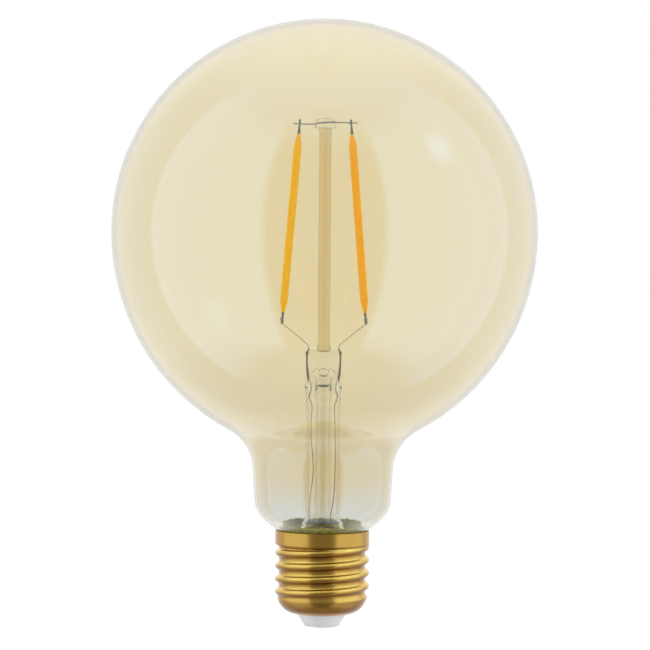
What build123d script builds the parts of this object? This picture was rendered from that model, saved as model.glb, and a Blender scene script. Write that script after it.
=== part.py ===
"""Smart filament light bulb: amber glass globe on a 27 mm Edison screw cap.

Millimetres. Origin at the centre of the cap's end contact, +Z up the bulb's axis to the
globe's crown, X along the line between the two filaments, -Y the side of the blow hole.
"""
from build123d import *
from math import atan2, ceil, cos, degrees, radians, sin, sqrt, tan
import os

os.makedirs("parts", exist_ok=True)

# ---------------------------------------------------------------- screw cap
PITCH = 3.629               # seven threads to the inch
COLLAR_R = 13.1             # plain collar above the thread
CREST_STEP = 0.03           # thread crest inside the collar's radius
THREAD_LAND = 0.03          # plain shaft above the root's lowest line
ROOT_LAND = 0.12            # gap between two turns of the ridge, inside the shaft
THREAD_DEPTH = 1.1
SHELL_WALL = 0.25
CAP_HEIGHT = 27.0           # from the contact to the collar's rim
COLLAR_LENGTH = 4.7
THREAD_BOTTOM_Z = 9.0
CREST_DROP = 4.5            # from the rim down to a crest, on the +X side
RUNOUT = 0.7                # conical run-out under the thread
SHOULDER_R = 5.5            # rounded shoulder at the foot of the shell
SHOULDER_TOP_Z = 9.3
CAP_HOLE_R = 7.0            # hole in the shell's foot, filled by the insulator
INSULATOR_TIP_R = 5.0
INSULATOR_EDGE_R = 0.6
FLANGE_R = 9.0              # insulator flange inside the shell
FLANGE_TOP_Z = 5.2
CONTACT_R = 2.75
CONTACT_THICK = 0.8
CONTACT_PROUD = 0.3         # contact below the insulator
PIN_R = 0.8
PIN_TOP_Z = 6.4

# ---------------------------------------------------------------- glass envelope
GLOBE_R = 59.1
GLASS_WALL = 0.7
FLANK_OFFSET = 3.2          # centre of the lower flank's arc, beyond the axis
NECK_R = 19.5               # at the waist
WAIST_Z = 43.5
WAIST_FILLET_R = 13.0
NECK_TAPER = 3.5            # degrees from the axis
NECK_SHOULDER_R = 8.0
NECK_CONE = 50.0            # degrees from the axis
RIM_GAP = 0.15              # glass to the collar's edge
SEAL_DEPTH = 1.0            # glass seal below the collar's rim
CEMENT_DEPTH = 3.6          # basing cement below the collar's rim
CEMENT_DIP = 0.2

# ---------------------------------------------------------------- glass stem
STEM_R = 4.8
STEM_WALL = 0.9
FLARE_R = 5.0               # bend of the flare
FLARE_SLOPE = 20.0          # degrees from level at its rim
EXHAUST_R = 2.3
EXHAUST_WALL = 0.8
PRESS_WIDTH = 10.4
PRESS_THICK = 3.6
PRESS_HEIGHT = 10.4
PRESS_EDGE_R = 1.5
PRESS_SHOULDER = 2.6        # from round tube to flat press
BORE_CONE = 3.0             # height of the bore's closing cone
BORE_RISE = 1.0             # bore carried on above the round tube's top
CHANNEL_R = 1.1             # exhaust channel inside the press
BLOW_HOLE_R = 1.5
BLOW_HOLE_LIP_R = 2.25
BLOW_HOLE_LIP = 0.3
BLOW_HOLE_DROP = 5.6        # below the press's top
POST_R = 1.75
BUTTON_R = 2.8
BUTTON_HEIGHT = 3.3
BUTTON_FLAT_R = 0.6

# ---------------------------------------------------------------- filaments and wires
FILAMENT_LENGTH = 50.0
FILAMENT_WIDTH = 2.2
FILAMENT_THICK = 1.6
FILAMENT_EDGE_R = 0.75
FILAMENT_TAPER = 3.3        # length of each tapered end
FILAMENT_TIP = 0.55         # tip section, share of the full one
FILAMENT_RISE = 2.7         # filament centre above the globe's centre
FILAMENT_X = 9.375          # filament centre from the axis
FILAMENT_TILT = 4.65        # degrees, tops leaning together
STRIP_WIDTH = 0.9
STRIP_THICK = 0.3
STRIP_INSET = 2.0           # strip ends inside the coating
TOP_TAB = 3.7
BOTTOM_TAB = 2.9
WELD_DROP = 2.65            # weld beyond the coating's end, on the top tab
CHIP_COUNT = 24
CHIP_SIZE = (0.55, 0.15, 1.1)
BRIDGE_OVERHANG = 2.1
BRIDGE_TILT = 2.0           # degrees, the +X end higher
WIRE_R = 0.2
LEAD_OVERLAP = 1.9          # lead wire along the bottom tab
LEAD_DROP = 7.7             # from the bottom tab's end to the press
LEAD_X = 4.25               # where the wires leave the press's top
LEAD_RISE = 1.5             # straight rise above the press
LEAD_BEND_R = 0.8
TAIL_BEND_R = 5.0
TAIL_WAVE = 0.55            # sideways waves of the tail wires, to the back
TAIL_FRONT_WAVE = 0.72      # and to the front
TAIL_WAVES = 5
TAIL_LAP = 2.2              # wires lie on the board below its top
LAP_GAP = 0.05              # solder between a wire and the board's face

# ---------------------------------------------------------------- driver inside the cap
SLEEVE_GAP = 0.25           # sleeve to the thread's root
SLEEVE_WALL = 0.3
SLEEVE_TOP_DROP = 0.3       # below the thread's top
RAIL_WIDTH = 2.6
RAIL_DEPTH = 1.3
BOARD_THICK = 1.0
BOARD_GAP = 0.05            # board edge to the rails
BOARD_HEIGHT = 14.0
BOARD_DROP = 4.6            # board top below the glass seal
TIP_GAP = 0.8               # exhaust tip above the board
CAPACITOR_R = 2.5
CAPACITOR_LENGTH = 9.0
CAPACITOR_RISE = 2.0        # foot of the can above the board's foot
CAPACITOR_NECK = 1.4        # crimped groove above the can's foot
CAPACITOR_GROOVE = (0.25, 0.5)          # depth and height
INDUCTOR_R = 3.0
INDUCTOR_HEIGHT = 4.0
INDUCTOR_CORE_R = 1.2
INDUCTOR_FLANGE = 0.7
INDUCTOR_STEP = 0.3         # winding inside the flanges' radius
INDUCTOR_RISE = 1.2         # flange above the board's foot
INDUCTOR_SHIFT = 0.3        # in from the middle of the board's right half
RADIO_BOARD = (11.0, 0.8, 12.0)
RADIO_GAP = 3.7             # between the two boards
HEADER_PITCH = 2.0
HEADER_PINS = 4
HEADER_PIN = 0.5
HEADER_DROP = 6.5           # below the main board's top
RADIO_RISE = 4.1            # wireless board above the main board's top
RESISTOR_R = 1.1
RESISTOR_LENGTH = 6.5
RESISTOR_RISE = 1.5
RESISTOR_WAIST = 0.15       # body inside its end caps' radius
RESISTOR_CAP = 1.0
RECTIFIER = (4.7, 1.5, 3.8)
RECTIFIER_DROP = 4.4
DRIVER_CHIP = (4.9, -1.5, 3.9)          # negative depth: behind the board
DRIVER_CHIP_RISE = 3.6
CHIP_RESISTOR = (0.8, -0.5, 1.6)
CHIP_RESISTOR_ROW = (-7.0, 2.4, 4)      # first place, step and count
CHIP_CAPACITOR = (1.2, -0.8, 2.0)
CHIP_CAPACITOR_ROW = (3.0, 2.2, 3)
CHIP_ROW_RISE = 1.2         # above the pin header
CONTROL_CHIP = (5.0, 0.9, 5.0)
CONTROL_CHIP_CORNER = (-2.5, 9.0)       # across, and down from the board's top
CRYSTAL = (2.0, 0.7, 2.5)
CRYSTAL_CORNER = (-5.2, 8.0)
ANTENNA_EDGE = 1.0          # in from the wireless board's left edge
ANTENNA_BAR = (9.0, 0.1, 0.4)
ANTENNA_FINGER = (0.4, 0.1, 2.4)
ANTENNA_FINGERS = 5
ANTENNA_DROP = 3.2          # fingers' feet below the board's top
LIVE_X = -1.8
LIVE_LAP = 1.8
NEUTRAL_X = 7.6
SOLDER_R = 0.7
SOLDER_HEIGHT = 0.7

# ---------------------------------------------------------------- worked out
CREST_R = COLLAR_R - CREST_STEP
ROOT_R = CREST_R - THREAD_DEPTH
THREAD_TOP_Z = CAP_HEIGHT - COLLAR_LENGTH
COLLAR_IN_R = COLLAR_R - SHELL_WALL
SHELL_FOOT_Z = SHOULDER_TOP_Z - SHOULDER_R
SEAL_Z = CAP_HEIGHT - SEAL_DEPTH

FLANK_R = GLOBE_R + FLANK_OFFSET
WAIST_X = NECK_R + WAIST_FILLET_R
GLOBE_RISE = sqrt((FLANK_R + WAIST_FILLET_R) ** 2 - (WAIST_X + FLANK_OFFSET) ** 2)
GLOBE_Z = WAIST_Z + GLOBE_RISE
FLANK_SWEEP = degrees(atan2(GLOBE_RISE, WAIST_X + FLANK_OFFSET))

FILAMENT_Z = GLOBE_Z + FILAMENT_RISE
LEAN = radians(FILAMENT_TILT)
BRIDGE_REACH = FILAMENT_LENGTH / 2 + WELD_DROP
BRIDGE_Z = FILAMENT_Z + BRIDGE_REACH * cos(LEAN)
BRIDGE_X = FILAMENT_X - BRIDGE_REACH * sin(LEAN)
TAB_END = FILAMENT_LENGTH / 2 + BOTTOM_TAB
PRESS_TOP_Z = FILAMENT_Z - TAB_END * cos(LEAN) - LEAD_DROP
PRESS_FOOT_Z = PRESS_TOP_Z - PRESS_HEIGHT
TUBE_TOP_Z = PRESS_FOOT_Z - PRESS_SHOULDER
BORE_TOP_Z = TUBE_TOP_Z + BORE_RISE
TAIL_X = (EXHAUST_R + STEM_R - STEM_WALL) / 2
FILAMENT_Y = -WIRE_R - STRIP_THICK / 2          # strips lie on the front of the wires

SLEEVE_R = ROOT_R - SHELL_WALL - SLEEVE_GAP
SLEEVE_IN_R = SLEEVE_R - SLEEVE_WALL
BOARD_WIDTH = 2 * (SLEEVE_IN_R - RAIL_DEPTH / 2)
BOARD_TOP_Z = SEAL_Z - BOARD_DROP
BOARD_FOOT_Z = BOARD_TOP_Z - BOARD_HEIGHT
FACE_Y = -BOARD_THICK / 2                       # front face of the main board
RADIO_FACE_Y = -FACE_Y + RADIO_GAP
RADIO_FOOT_Z = BOARD_TOP_Z + RADIO_RISE - RADIO_BOARD[2]
LAP_Y = FACE_Y - WIRE_R - LAP_GAP               # wires soldered to the board's front
SIDES = {"left": -1, "right": 1}


# ---------------------------------------------------------------- helpers
def at(r, z):
    """Point of an outline in the XZ plane."""
    return (r, 0, z)


def arc(centre, radius, start, end):
    """Arc in the XZ plane, from one angle to another, in degrees from +X towards +Z."""
    ends = []
    for angle in (start, (start + end) / 2, end):
        turn = radians(angle)
        ends.append(at(centre[0] + radius * cos(turn), centre[1] + radius * sin(turn)))
    return ThreePointArc(*ends)


def turned(*curves):
    """Solid of revolution about the bulb's axis."""
    return revolve(make_face(curves), Axis.Z, 360)


def turned_polygon(*points):
    """Solid of revolution from straight runs between (radius, height) points."""
    return turned(Polyline(*[at(*point) for point in points], close=True))


def rod(start, end, radius):
    """Straight round rod between two points."""
    span = Vector(*end) - Vector(*start)
    section = Plane(origin=start, z_dir=span) * Circle(radius)
    return extrude(section, span.length)


def wire(points, radius, bend):
    """Round wire along straight runs joined by bends."""
    path = FilletPolyline(*points, radius=bend)
    return sweep(Plane(origin=path @ 0, z_dir=path % 0) * Circle(radius), path=path)


def block(low, size):
    """Box from its lowest corner."""
    return Pos(*low) * Box(*size, align=(Align.MIN, Align.MIN, Align.MIN))


def on_board(x, z, size):
    """Box soldered to the main board: positive depth stands on the front, negative behind."""
    width, depth, height = size
    low_y = FACE_Y - depth if depth > 0 else -FACE_Y
    return block((x - width / 2, low_y, z - height / 2), (width, abs(depth), height))


# ---------------------------------------------------------------- screw cap
def thread_bead(crest):
    """Helical ridge of the rolled right-hand thread: one crest arc between two root arcs."""
    root = crest - THREAD_DEPTH
    roll = (THREAD_DEPTH ** 2 + (PITCH / 2) ** 2) / (4 * THREAD_DEPTH)
    swing = degrees(atan2(PITCH / 4, roll - THREAD_DEPTH / 2))
    foot = degrees(atan2(ROOT_LAND, roll))
    deep = root - SHELL_WALL / 2
    curves = [arc((root + roll, -PITCH / 2), roll, 180 - foot, 180 - swing),
              arc((crest - roll, 0), roll, -swing, swing),
              arc((root + roll, PITCH / 2), roll, 180 + swing, 180 + foot)]
    low, high = curves[0] @ 0, curves[-1] @ 1
    deep_low, deep_high = at(deep, low.Z), at(deep, high.Z)
    curves += [Line(high, deep_high), Line(deep_high, deep_low), Line(deep_low, low)]
    turns = ceil((CAP_HEIGHT - THREAD_BOTTOM_Z) / PITCH)
    helix = Edge.make_helix(PITCH, PITCH * (turns + 1), root)
    bead = sweep(make_face(curves), path=helix, is_frenet=True)
    return Pos(0, 0, CAP_HEIGHT - CREST_DROP - PITCH * turns) * bead


def shell_form(depth):
    """Solid shape of the cap at a depth in its sheet: collar, thread and rounded shoulder."""
    root = ROOT_R + THREAD_LAND - depth
    low, high = THREAD_BOTTOM_Z, THREAD_TOP_Z
    slab = turned_polygon((0, low), (2 * COLLAR_R, low), (2 * COLLAR_R, high), (0, high))
    thread = thread_bead(CREST_R - depth) & slab
    shaft = turned_polygon((0, low), (root, low), (root, high + depth), (0, high + depth))
    collar_r = COLLAR_R - depth
    collar = turned_polygon(
        (0, high + depth), (collar_r, high + depth), (collar_r, CAP_HEIGHT), (0, CAP_HEIGHT))

    lean = degrees(atan2(SHOULDER_TOP_Z - low + RUNOUT, SHOULDER_R))
    curve = arc((CAP_HOLE_R, SHOULDER_TOP_Z), SHOULDER_R - depth, -90, -lean)
    runout = at(root if depth else COLLAR_R, low)
    shoulder = turned(
        curve, Line(curve @ 1, runout), Line(runout, at(0, low)),
        Line(at(0, low), at(0, SHELL_FOOT_Z + depth)), Line(at(0, SHELL_FOOT_Z + depth), curve @ 0))
    return shaft + thread + collar + shoulder


def screw_shell():
    """Brass sheet shell, open at the rim and at the insulator's hole."""
    hole = rod((0, 0, SHELL_FOOT_Z), (0, 0, SHELL_FOOT_Z + SHELL_WALL), CAP_HOLE_R)
    return shell_form(0) - shell_form(SHELL_WALL) - hole


def cap_insulator():
    """Moulded plug in the shell's foot, with a seat for the contact and a hole for its pin."""
    low, high = SHELL_FOOT_Z + SHELL_WALL, FLANGE_TOP_Z
    body = turned_polygon(
        (0, CONTACT_PROUD), (INSULATOR_TIP_R, CONTACT_PROUD),
        (CAP_HOLE_R, SHELL_FOOT_Z), (CAP_HOLE_R, low), (0, low))
    body = fillet(body.edges().group_by(Axis.Z)[0], INSULATOR_EDGE_R)
    seat_angle = -degrees(atan2(sqrt((SHOULDER_R - SHELL_WALL) ** 2 - (FLANGE_R - CAP_HOLE_R) ** 2),
                                FLANGE_R - CAP_HOLE_R))
    seat = arc((CAP_HOLE_R, SHOULDER_TOP_Z), SHOULDER_R - SHELL_WALL, -90, seat_angle)
    flange = turned(
        seat,
        Line(seat @ 1, at(FLANGE_R, high)),
        Line(at(FLANGE_R, high), at(0, high)),
        Line(at(0, high), at(0, low)),
        Line(at(0, low), seat @ 0))
    return body + flange - centre_contact()


def centre_contact():
    """Brass end contact: flat head and the pin that takes the live wire."""
    head = Pos(0, 0, CONTACT_THICK / 2) * Cylinder(CONTACT_R, CONTACT_THICK)
    return head + rod((0, 0, CONTACT_THICK), (0, 0, PIN_TOP_Z), PIN_R)


def basing_cement():
    """Ring of cement between the collar and the glass cone."""
    foot_r, top_z = cone_radius(SEAL_Z, 0), CAP_HEIGHT - CEMENT_DIP
    return turned_polygon(
        (foot_r, CAP_HEIGHT - CEMENT_DEPTH), (COLLAR_IN_R, CAP_HEIGHT - CEMENT_DEPTH),
        (COLLAR_IN_R, top_z), (cone_radius(top_z, 0), top_z), (foot_r, SEAL_Z))


# ---------------------------------------------------------------- glass envelope
def cone_radius(z, inset):
    """Radius of the glass cone above the seal, at a height and a depth in the wall."""
    rise = radians(NECK_CONE)
    return COLLAR_IN_R - RIM_GAP + (z - CAP_HEIGHT) * tan(rise) - inset / cos(rise)


def shoulder_centre():
    """Centre of the arc that touches both the neck's line and the cone's line."""
    taper, cone = radians(NECK_TAPER), radians(NECK_CONE)
    neck_x = WAIST_X - WAIST_FILLET_R * cos(taper)
    neck_z = WAIST_Z + WAIST_FILLET_R * sin(taper)
    neck_in = NECK_SHOULDER_R - neck_x * cos(taper) + neck_z * sin(taper)
    cone_in = NECK_SHOULDER_R - cone_radius(SEAL_Z, 0) * cos(cone) + SEAL_Z * sin(cone)
    span = sin(cone - taper)
    return ((cone_in * sin(taper) - neck_in * sin(cone)) / span,
            (cone_in * cos(taper) - neck_in * cos(cone)) / span)


def glass_outline(inset):
    """Outline of the envelope from the crown to the seal, at a depth in the wall."""
    join = 180 - FLANK_SWEEP
    crown = arc((0, GLOBE_Z), GLOBE_R - inset, 90, 0)
    flank = arc((-FLANK_OFFSET, GLOBE_Z), FLANK_R - inset, 0, -FLANK_SWEEP)
    waist = arc((WAIST_X, WAIST_Z), WAIST_FILLET_R + inset, join, 180 - NECK_TAPER)
    shoulder = arc(shoulder_centre(), NECK_SHOULDER_R - inset, -NECK_TAPER, -NECK_CONE)
    neck = Line(waist @ 1, shoulder @ 0)
    cone = Line(shoulder @ 1, at(cone_radius(SEAL_Z, inset), SEAL_Z))
    return [crown, flank, waist, neck, shoulder, cone]


def globe_envelope():
    """Blown glass globe and neck, one wall, open at the seal."""
    outer, inner = glass_outline(0), glass_outline(GLASS_WALL)
    return turned(
        *outer, Line(outer[-1] @ 1, inner[-1] @ 1),
        *inner, Line(inner[0] @ 0, outer[0] @ 0))


# ---------------------------------------------------------------- glass stem
def flare_tube():
    """Stem tube with its flared foot, up to the press, bored for the exhaust tube."""
    slope = radians(FLARE_SLOPE)
    bend_x = STEM_R + FLARE_R
    land_r = cone_radius(SEAL_Z, GLASS_WALL) - RIM_GAP
    bend_z = SEAL_Z + FLARE_R * cos(slope) + (land_r - bend_x + FLARE_R * sin(slope)) * tan(slope)
    rim_r, low_z = cone_radius(SEAL_Z, 0), SEAL_Z - STEM_WALL
    top = arc((bend_x, bend_z), FLARE_R, 180, 270 - FLARE_SLOPE)
    under = arc((bend_x, bend_z), FLARE_R + STEM_WALL, 270 - FLARE_SLOPE, 180)
    under_r = (under @ 0).X + ((under @ 0).Z - low_z) / tan(slope)
    bore_r = STEM_R - STEM_WALL
    return turned(
        top, Line(top @ 1, at(land_r, SEAL_Z)), Line(at(land_r, SEAL_Z), at(rim_r, SEAL_Z)),
        Line(at(rim_r, SEAL_Z), at(rim_r, low_z)), Line(at(rim_r, low_z), at(under_r, low_z)),
        Line(at(under_r, low_z), under @ 0), under,
        Line(under @ 1, at(bore_r, BORE_TOP_Z - BORE_CONE)),
        Line(at(bore_r, BORE_TOP_Z - BORE_CONE), at(bore_r, TUBE_TOP_Z)),
        Line(at(bore_r, TUBE_TOP_Z), at(STEM_R, TUBE_TOP_Z)),
        Line(at(STEM_R, TUBE_TOP_Z), top @ 0))


def stem_flare_tube():
    """Flared tube and the press squeezed from its upper end, one piece of glass."""
    flat = RectangleRounded(PRESS_WIDTH, PRESS_THICK, PRESS_EDGE_R)
    squeeze = loft([Pos(0, 0, TUBE_TOP_Z) * Circle(STEM_R), Pos(0, 0, PRESS_FOOT_Z) * flat])
    press = Pos(0, 0, PRESS_FOOT_Z) * extrude(flat, PRESS_HEIGHT)
    hole_z = PRESS_TOP_Z - BLOW_HOLE_DROP
    front = -PRESS_THICK / 2
    lip = rod((0, front + BLOW_HOLE_LIP, hole_z), (0, front - BLOW_HOLE_LIP, hole_z), BLOW_HOLE_LIP_R)
    stem = flare_tube() + squeeze + press + lip

    cone_foot_z = BORE_TOP_Z - BORE_CONE
    bore = turned_polygon((0, cone_foot_z), (STEM_R - STEM_WALL, cone_foot_z),
                          (EXHAUST_R, BORE_TOP_Z), (0, BORE_TOP_Z))
    stem -= bore
    stem -= rod((0, 0, cone_foot_z), (0, 0, hole_z), CHANNEL_R)
    stem -= rod((0, 0, hole_z), (0, front - 2 * BLOW_HOLE_LIP, hole_z), BLOW_HOLE_R)
    for side in SIDES.values():
        stem -= dumet_seal(side)
    return stem


def exhaust_tube():
    """Narrow tube from the press down to its tip, melted shut under the flare."""
    bore_r, tip_z = EXHAUST_R - EXHAUST_WALL, BOARD_TOP_Z + TIP_GAP
    taper_z = tip_z + 2 * EXHAUST_R
    return turned_polygon(
        (bore_r, BORE_TOP_Z), (EXHAUST_R, BORE_TOP_Z), (EXHAUST_R, taper_z),
        (EXHAUST_WALL, tip_z), (0, tip_z), (0, tip_z + 2 * EXHAUST_WALL), (bore_r, taper_z))


def centre_post():
    """Solid glass rod between the press and the button."""
    return rod((0, 0, PRESS_TOP_Z), (0, 0, BRIDGE_Z - BUTTON_HEIGHT / 2), POST_R)


def post_button():
    """Melted glass bead on the post, closed round the bridge wire."""
    low, high = BRIDGE_Z - BUTTON_HEIGHT / 2, BRIDGE_Z + BUTTON_HEIGHT / 2
    side = ThreePointArc(at(POST_R, low), at(BUTTON_R, BRIDGE_Z), at(BUTTON_FLAT_R, high))
    top, foot = at(0, high), at(0, low)
    bead = turned(side, Line(side @ 1, top), Line(top, foot), Line(foot, side @ 0))
    return bead - bridge_wire()


# ---------------------------------------------------------------- wires in the stem
def bridge_wire():
    """Straight support wire through the button, joining the filaments' tops."""
    reach = BRIDGE_X + BRIDGE_OVERHANG
    return Pos(0, 0, BRIDGE_Z) * Rot(0, -BRIDGE_TILT, 0) * rod((-reach, 0, 0), (reach, 0, 0), WIRE_R)


def beside_filament(side, reach):
    """Point beside the filament's axis, in the wires' plane, at a distance up from its centre."""
    return (side * (FILAMENT_X - reach * sin(LEAN)), 0, FILAMENT_Z + reach * cos(LEAN))


def lead_wire(side):
    """Wire from a filament's lower tab across and down to the press."""
    exit_x = side * LEAD_X
    return wire([beside_filament(side, LEAD_OVERLAP - TAB_END), beside_filament(side, -TAB_END - WIRE_R),
                 (exit_x, 0, PRESS_TOP_Z + LEAD_RISE), (exit_x, 0, PRESS_TOP_Z)], WIRE_R, LEAD_BEND_R)


def dumet_seal(side):
    """Copper-clad wire sealed in the press, slanting in to the tube's bore."""
    return rod((side * LEAD_X, 0, PRESS_TOP_Z), (side * TAIL_X, 0, BORE_TOP_Z - BORE_CONE), WIRE_R)


def tail_wire(side):
    """Copper wire from the press down the bore, in loose waves, to the board's front."""
    top_z, bend_z = BORE_TOP_Z - BORE_CONE, SEAL_Z + FLARE_R
    span = (top_z - bend_z) / (TAIL_WAVES + 1)
    points = [(side * TAIL_X, 0, top_z)]
    for wave in range(TAIL_WAVES):
        sway = TAIL_WAVE if wave % 2 == 0 else -TAIL_FRONT_WAVE
        points.append((side * TAIL_X, sway, top_z - span * (wave + 1)))
    points.append((side * TAIL_X, LAP_Y, bend_z))
    points.append((side * TAIL_X, LAP_Y, BOARD_TOP_Z - TAIL_LAP))
    return wire(points, WIRE_R, TAIL_BEND_R)


# ---------------------------------------------------------------- filaments
def on_filament(side, solid):
    """Place a filament piece, drawn upright about the origin, on one side of the axis."""
    return Pos(side * FILAMENT_X, FILAMENT_Y, FILAMENT_Z) * Rot(0, -side * FILAMENT_TILT, 0) * solid


def strip(low, high):
    """Flat strip along the filament's axis."""
    return block((-STRIP_WIDTH / 2, -STRIP_THICK / 2, low), (STRIP_WIDTH, STRIP_THICK, high - low))


def filament_pieces():
    """Pieces of one filament, upright about the origin: strip, chips, coating and two tabs."""
    half = FILAMENT_LENGTH / 2
    joint = half - STRIP_INSET
    pieces = {
        "substrate": strip(-joint, joint),
        "top_terminal": strip(joint, half + TOP_TAB),
        "bottom_terminal": strip(-half - BOTTOM_TAB, -joint),
    }
    width, depth, height = CHIP_SIZE
    step = 2 * joint / CHIP_COUNT
    chips = []
    for number in range(CHIP_COUNT):
        middle = -joint + step * (number + 0.5)
        chips.append(block((-width / 2, -STRIP_THICK / 2 - depth, middle - height / 2), CHIP_SIZE))
    pieces["chips"] = Compound(children=chips)

    section = RectangleRounded(FILAMENT_WIDTH, FILAMENT_THICK, FILAMENT_EDGE_R)
    tip = scale(section, FILAMENT_TIP)
    straight = half - FILAMENT_TAPER
    coating = Pos(0, 0, -straight) * extrude(section, 2 * straight)
    coating += loft([Pos(0, 0, straight) * section, Pos(0, 0, half) * tip])
    coating += loft([Pos(0, 0, -half) * tip, Pos(0, 0, -straight) * section])
    coating -= strip(-half, half)
    for chip in chips:
        coating -= chip
    pieces["phosphor"] = coating
    return pieces


# ---------------------------------------------------------------- driver inside the cap
def driver_sleeve():
    """Insulating sleeve inside the shell, with two slotted rails for the board's edges."""
    rest = sqrt((SHOULDER_R - SHELL_WALL) ** 2 - (SLEEVE_R - CAP_HOLE_R) ** 2)
    foot_z, top_z = SHOULDER_TOP_Z - rest, THREAD_TOP_Z - SLEEVE_TOP_DROP
    sleeve = turned_polygon(
        (SLEEVE_IN_R, foot_z), (SLEEVE_R, foot_z), (SLEEVE_R, top_z), (SLEEVE_IN_R, top_z))
    inside = turned_polygon((0, foot_z), (SLEEVE_IN_R, foot_z), (SLEEVE_IN_R, top_z), (0, top_z))
    slot_half = BOARD_WIDTH / 2 + BOARD_GAP
    slot_y = BOARD_THICK / 2 + BOARD_GAP
    for side in SIDES.values():
        middle = (side * SLEEVE_IN_R, 0, (foot_z + top_z) / 2)
        rail = Pos(*middle) * Box(2 * RAIL_DEPTH, RAIL_WIDTH, top_z - foot_z)
        sleeve += rail & inside
    return sleeve - block((-slot_half, -slot_y, BOARD_FOOT_Z), (2 * slot_half, 2 * slot_y, top_z))


def main_board():
    """Driver board standing on edge in the sleeve's rails."""
    board = block((-BOARD_WIDTH / 2, FACE_Y, BOARD_FOOT_Z), (BOARD_WIDTH, BOARD_THICK, BOARD_HEIGHT))
    for x, _, z in header_places():
        low = (x - HEADER_PIN / 2, FACE_Y, z - HEADER_PIN / 2)
        board -= block(low, (HEADER_PIN, BOARD_THICK, HEADER_PIN))
    return board


def header_places():
    """Centres of the header's pins, on the main board's middle plane."""
    first = -HEADER_PITCH * (HEADER_PINS - 1) / 2
    return [(first + HEADER_PITCH * pin, 0, BOARD_TOP_Z - HEADER_DROP) for pin in range(HEADER_PINS)]


def header_pins():
    """Square pins that join the two boards."""
    reach = BOARD_THICK + RADIO_GAP + RADIO_BOARD[1]
    pins = [block((x - HEADER_PIN / 2, FACE_Y, z - HEADER_PIN / 2), (HEADER_PIN, reach, HEADER_PIN))
            for x, _, z in header_places()]
    return Compound(children=pins)


def pin_header():
    """Moulded spacer round the pins, filling the gap between the boards."""
    width = HEADER_PITCH * HEADER_PINS
    low = (-width / 2, -FACE_Y, BOARD_TOP_Z - HEADER_DROP - HEADER_PITCH / 2)
    return block(low, (width, RADIO_GAP, HEADER_PITCH)) - header_pins()


def radio_board():
    """Small wireless control board behind the main board."""
    width, thick, height = RADIO_BOARD
    low = (-width / 2, RADIO_FACE_Y, RADIO_FOOT_Z)
    return block(low, RADIO_BOARD) - header_pins()


def radio_parts():
    """Control chip, crystal and printed antenna on the wireless board's back."""
    back_y = RADIO_FACE_Y + RADIO_BOARD[1]
    top_z = RADIO_FOOT_Z + RADIO_BOARD[2]
    left_x = ANTENNA_EDGE - RADIO_BOARD[0] / 2
    foot_z = top_z - ANTENNA_DROP
    reach = (ANTENNA_BAR[0] - ANTENNA_FINGER[0]) / (ANTENNA_FINGERS - 1)
    chip_x, chip_drop = CONTROL_CHIP_CORNER
    crystal_x, crystal_drop = CRYSTAL_CORNER
    antenna = block((left_x, back_y, foot_z + ANTENNA_FINGER[2] - ANTENNA_BAR[2]), ANTENNA_BAR)
    for finger in range(ANTENNA_FINGERS):
        antenna += block((left_x + reach * finger, back_y, foot_z), ANTENNA_FINGER)
    return {
        "control_chip": block((chip_x, back_y, top_z - chip_drop), CONTROL_CHIP),
        "clock_crystal": block((crystal_x, back_y, top_z - crystal_drop), CRYSTAL),
        "antenna": antenna,
    }


def bulk_capacitor():
    """Electrolytic can with its crimped neck, lying upright against the board's front."""
    x, y, z = -BOARD_WIDTH / 4, FACE_Y - CAPACITOR_R, BOARD_FOOT_Z + CAPACITOR_RISE
    groove_depth, groove_height = CAPACITOR_GROOVE
    low, high = (x, y, z + CAPACITOR_NECK), (x, y, z + CAPACITOR_NECK + groove_height)
    can = rod((x, y, z), (x, y, z + CAPACITOR_LENGTH), CAPACITOR_R)
    return can - (rod(low, high, CAPACITOR_R) - rod(low, high, CAPACITOR_R - groove_depth))


def inductor_place():
    """Where the inductor's axis meets the board's front."""
    return (BOARD_WIDTH / 4 - INDUCTOR_SHIFT, FACE_Y, BOARD_FOOT_Z + INDUCTOR_RISE + INDUCTOR_R)


def inductor_core():
    """Ferrite drum core, its axis square to the board."""
    x, y, z = inductor_place()
    core = rod((x, y, z), (x, y - INDUCTOR_HEIGHT, z), INDUCTOR_R)
    return core - inductor_winding()


def inductor_winding():
    """Enamelled winding between the drum's flanges."""
    x, y, z = inductor_place()
    low, high = (x, y - INDUCTOR_FLANGE, z), (x, y - INDUCTOR_HEIGHT + INDUCTOR_FLANGE, z)
    return rod(low, high, INDUCTOR_R - INDUCTOR_STEP) - rod(low, high, INDUCTOR_CORE_R)


def fusible_resistor():
    """Upright fusible resistor with flanged ends, between the capacitor and the inductor."""
    y, low = FACE_Y - RESISTOR_R, BOARD_FOOT_Z + RESISTOR_RISE
    high = low + RESISTOR_LENGTH
    body = rod((0, y, low), (0, y, high), RESISTOR_R - RESISTOR_WAIST)
    for end in (low, high - RESISTOR_CAP):
        body += rod((0, y, end), (0, y, end + RESISTOR_CAP), RESISTOR_R)
    return body


def chip_row(first, step, count, size):
    """Row of small surface-mount chips above the pin header."""
    z = BOARD_TOP_Z - HEADER_DROP + HEADER_PITCH / 2 + CHIP_ROW_RISE
    return Compound(children=[on_board(first + step * number, z, size) for number in range(count)])


def live_wire():
    """Wire from the contact's pin up to the board's foot."""
    return wire([(0, 0, PIN_TOP_Z), (0, 0, PIN_TOP_Z + 2 * WIRE_R),
                 (LIVE_X, LAP_Y, BOARD_FOOT_Z - WIRE_R), (LIVE_X, LAP_Y, BOARD_FOOT_Z + LIVE_LAP)],
                WIRE_R, WIRE_R)


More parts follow.
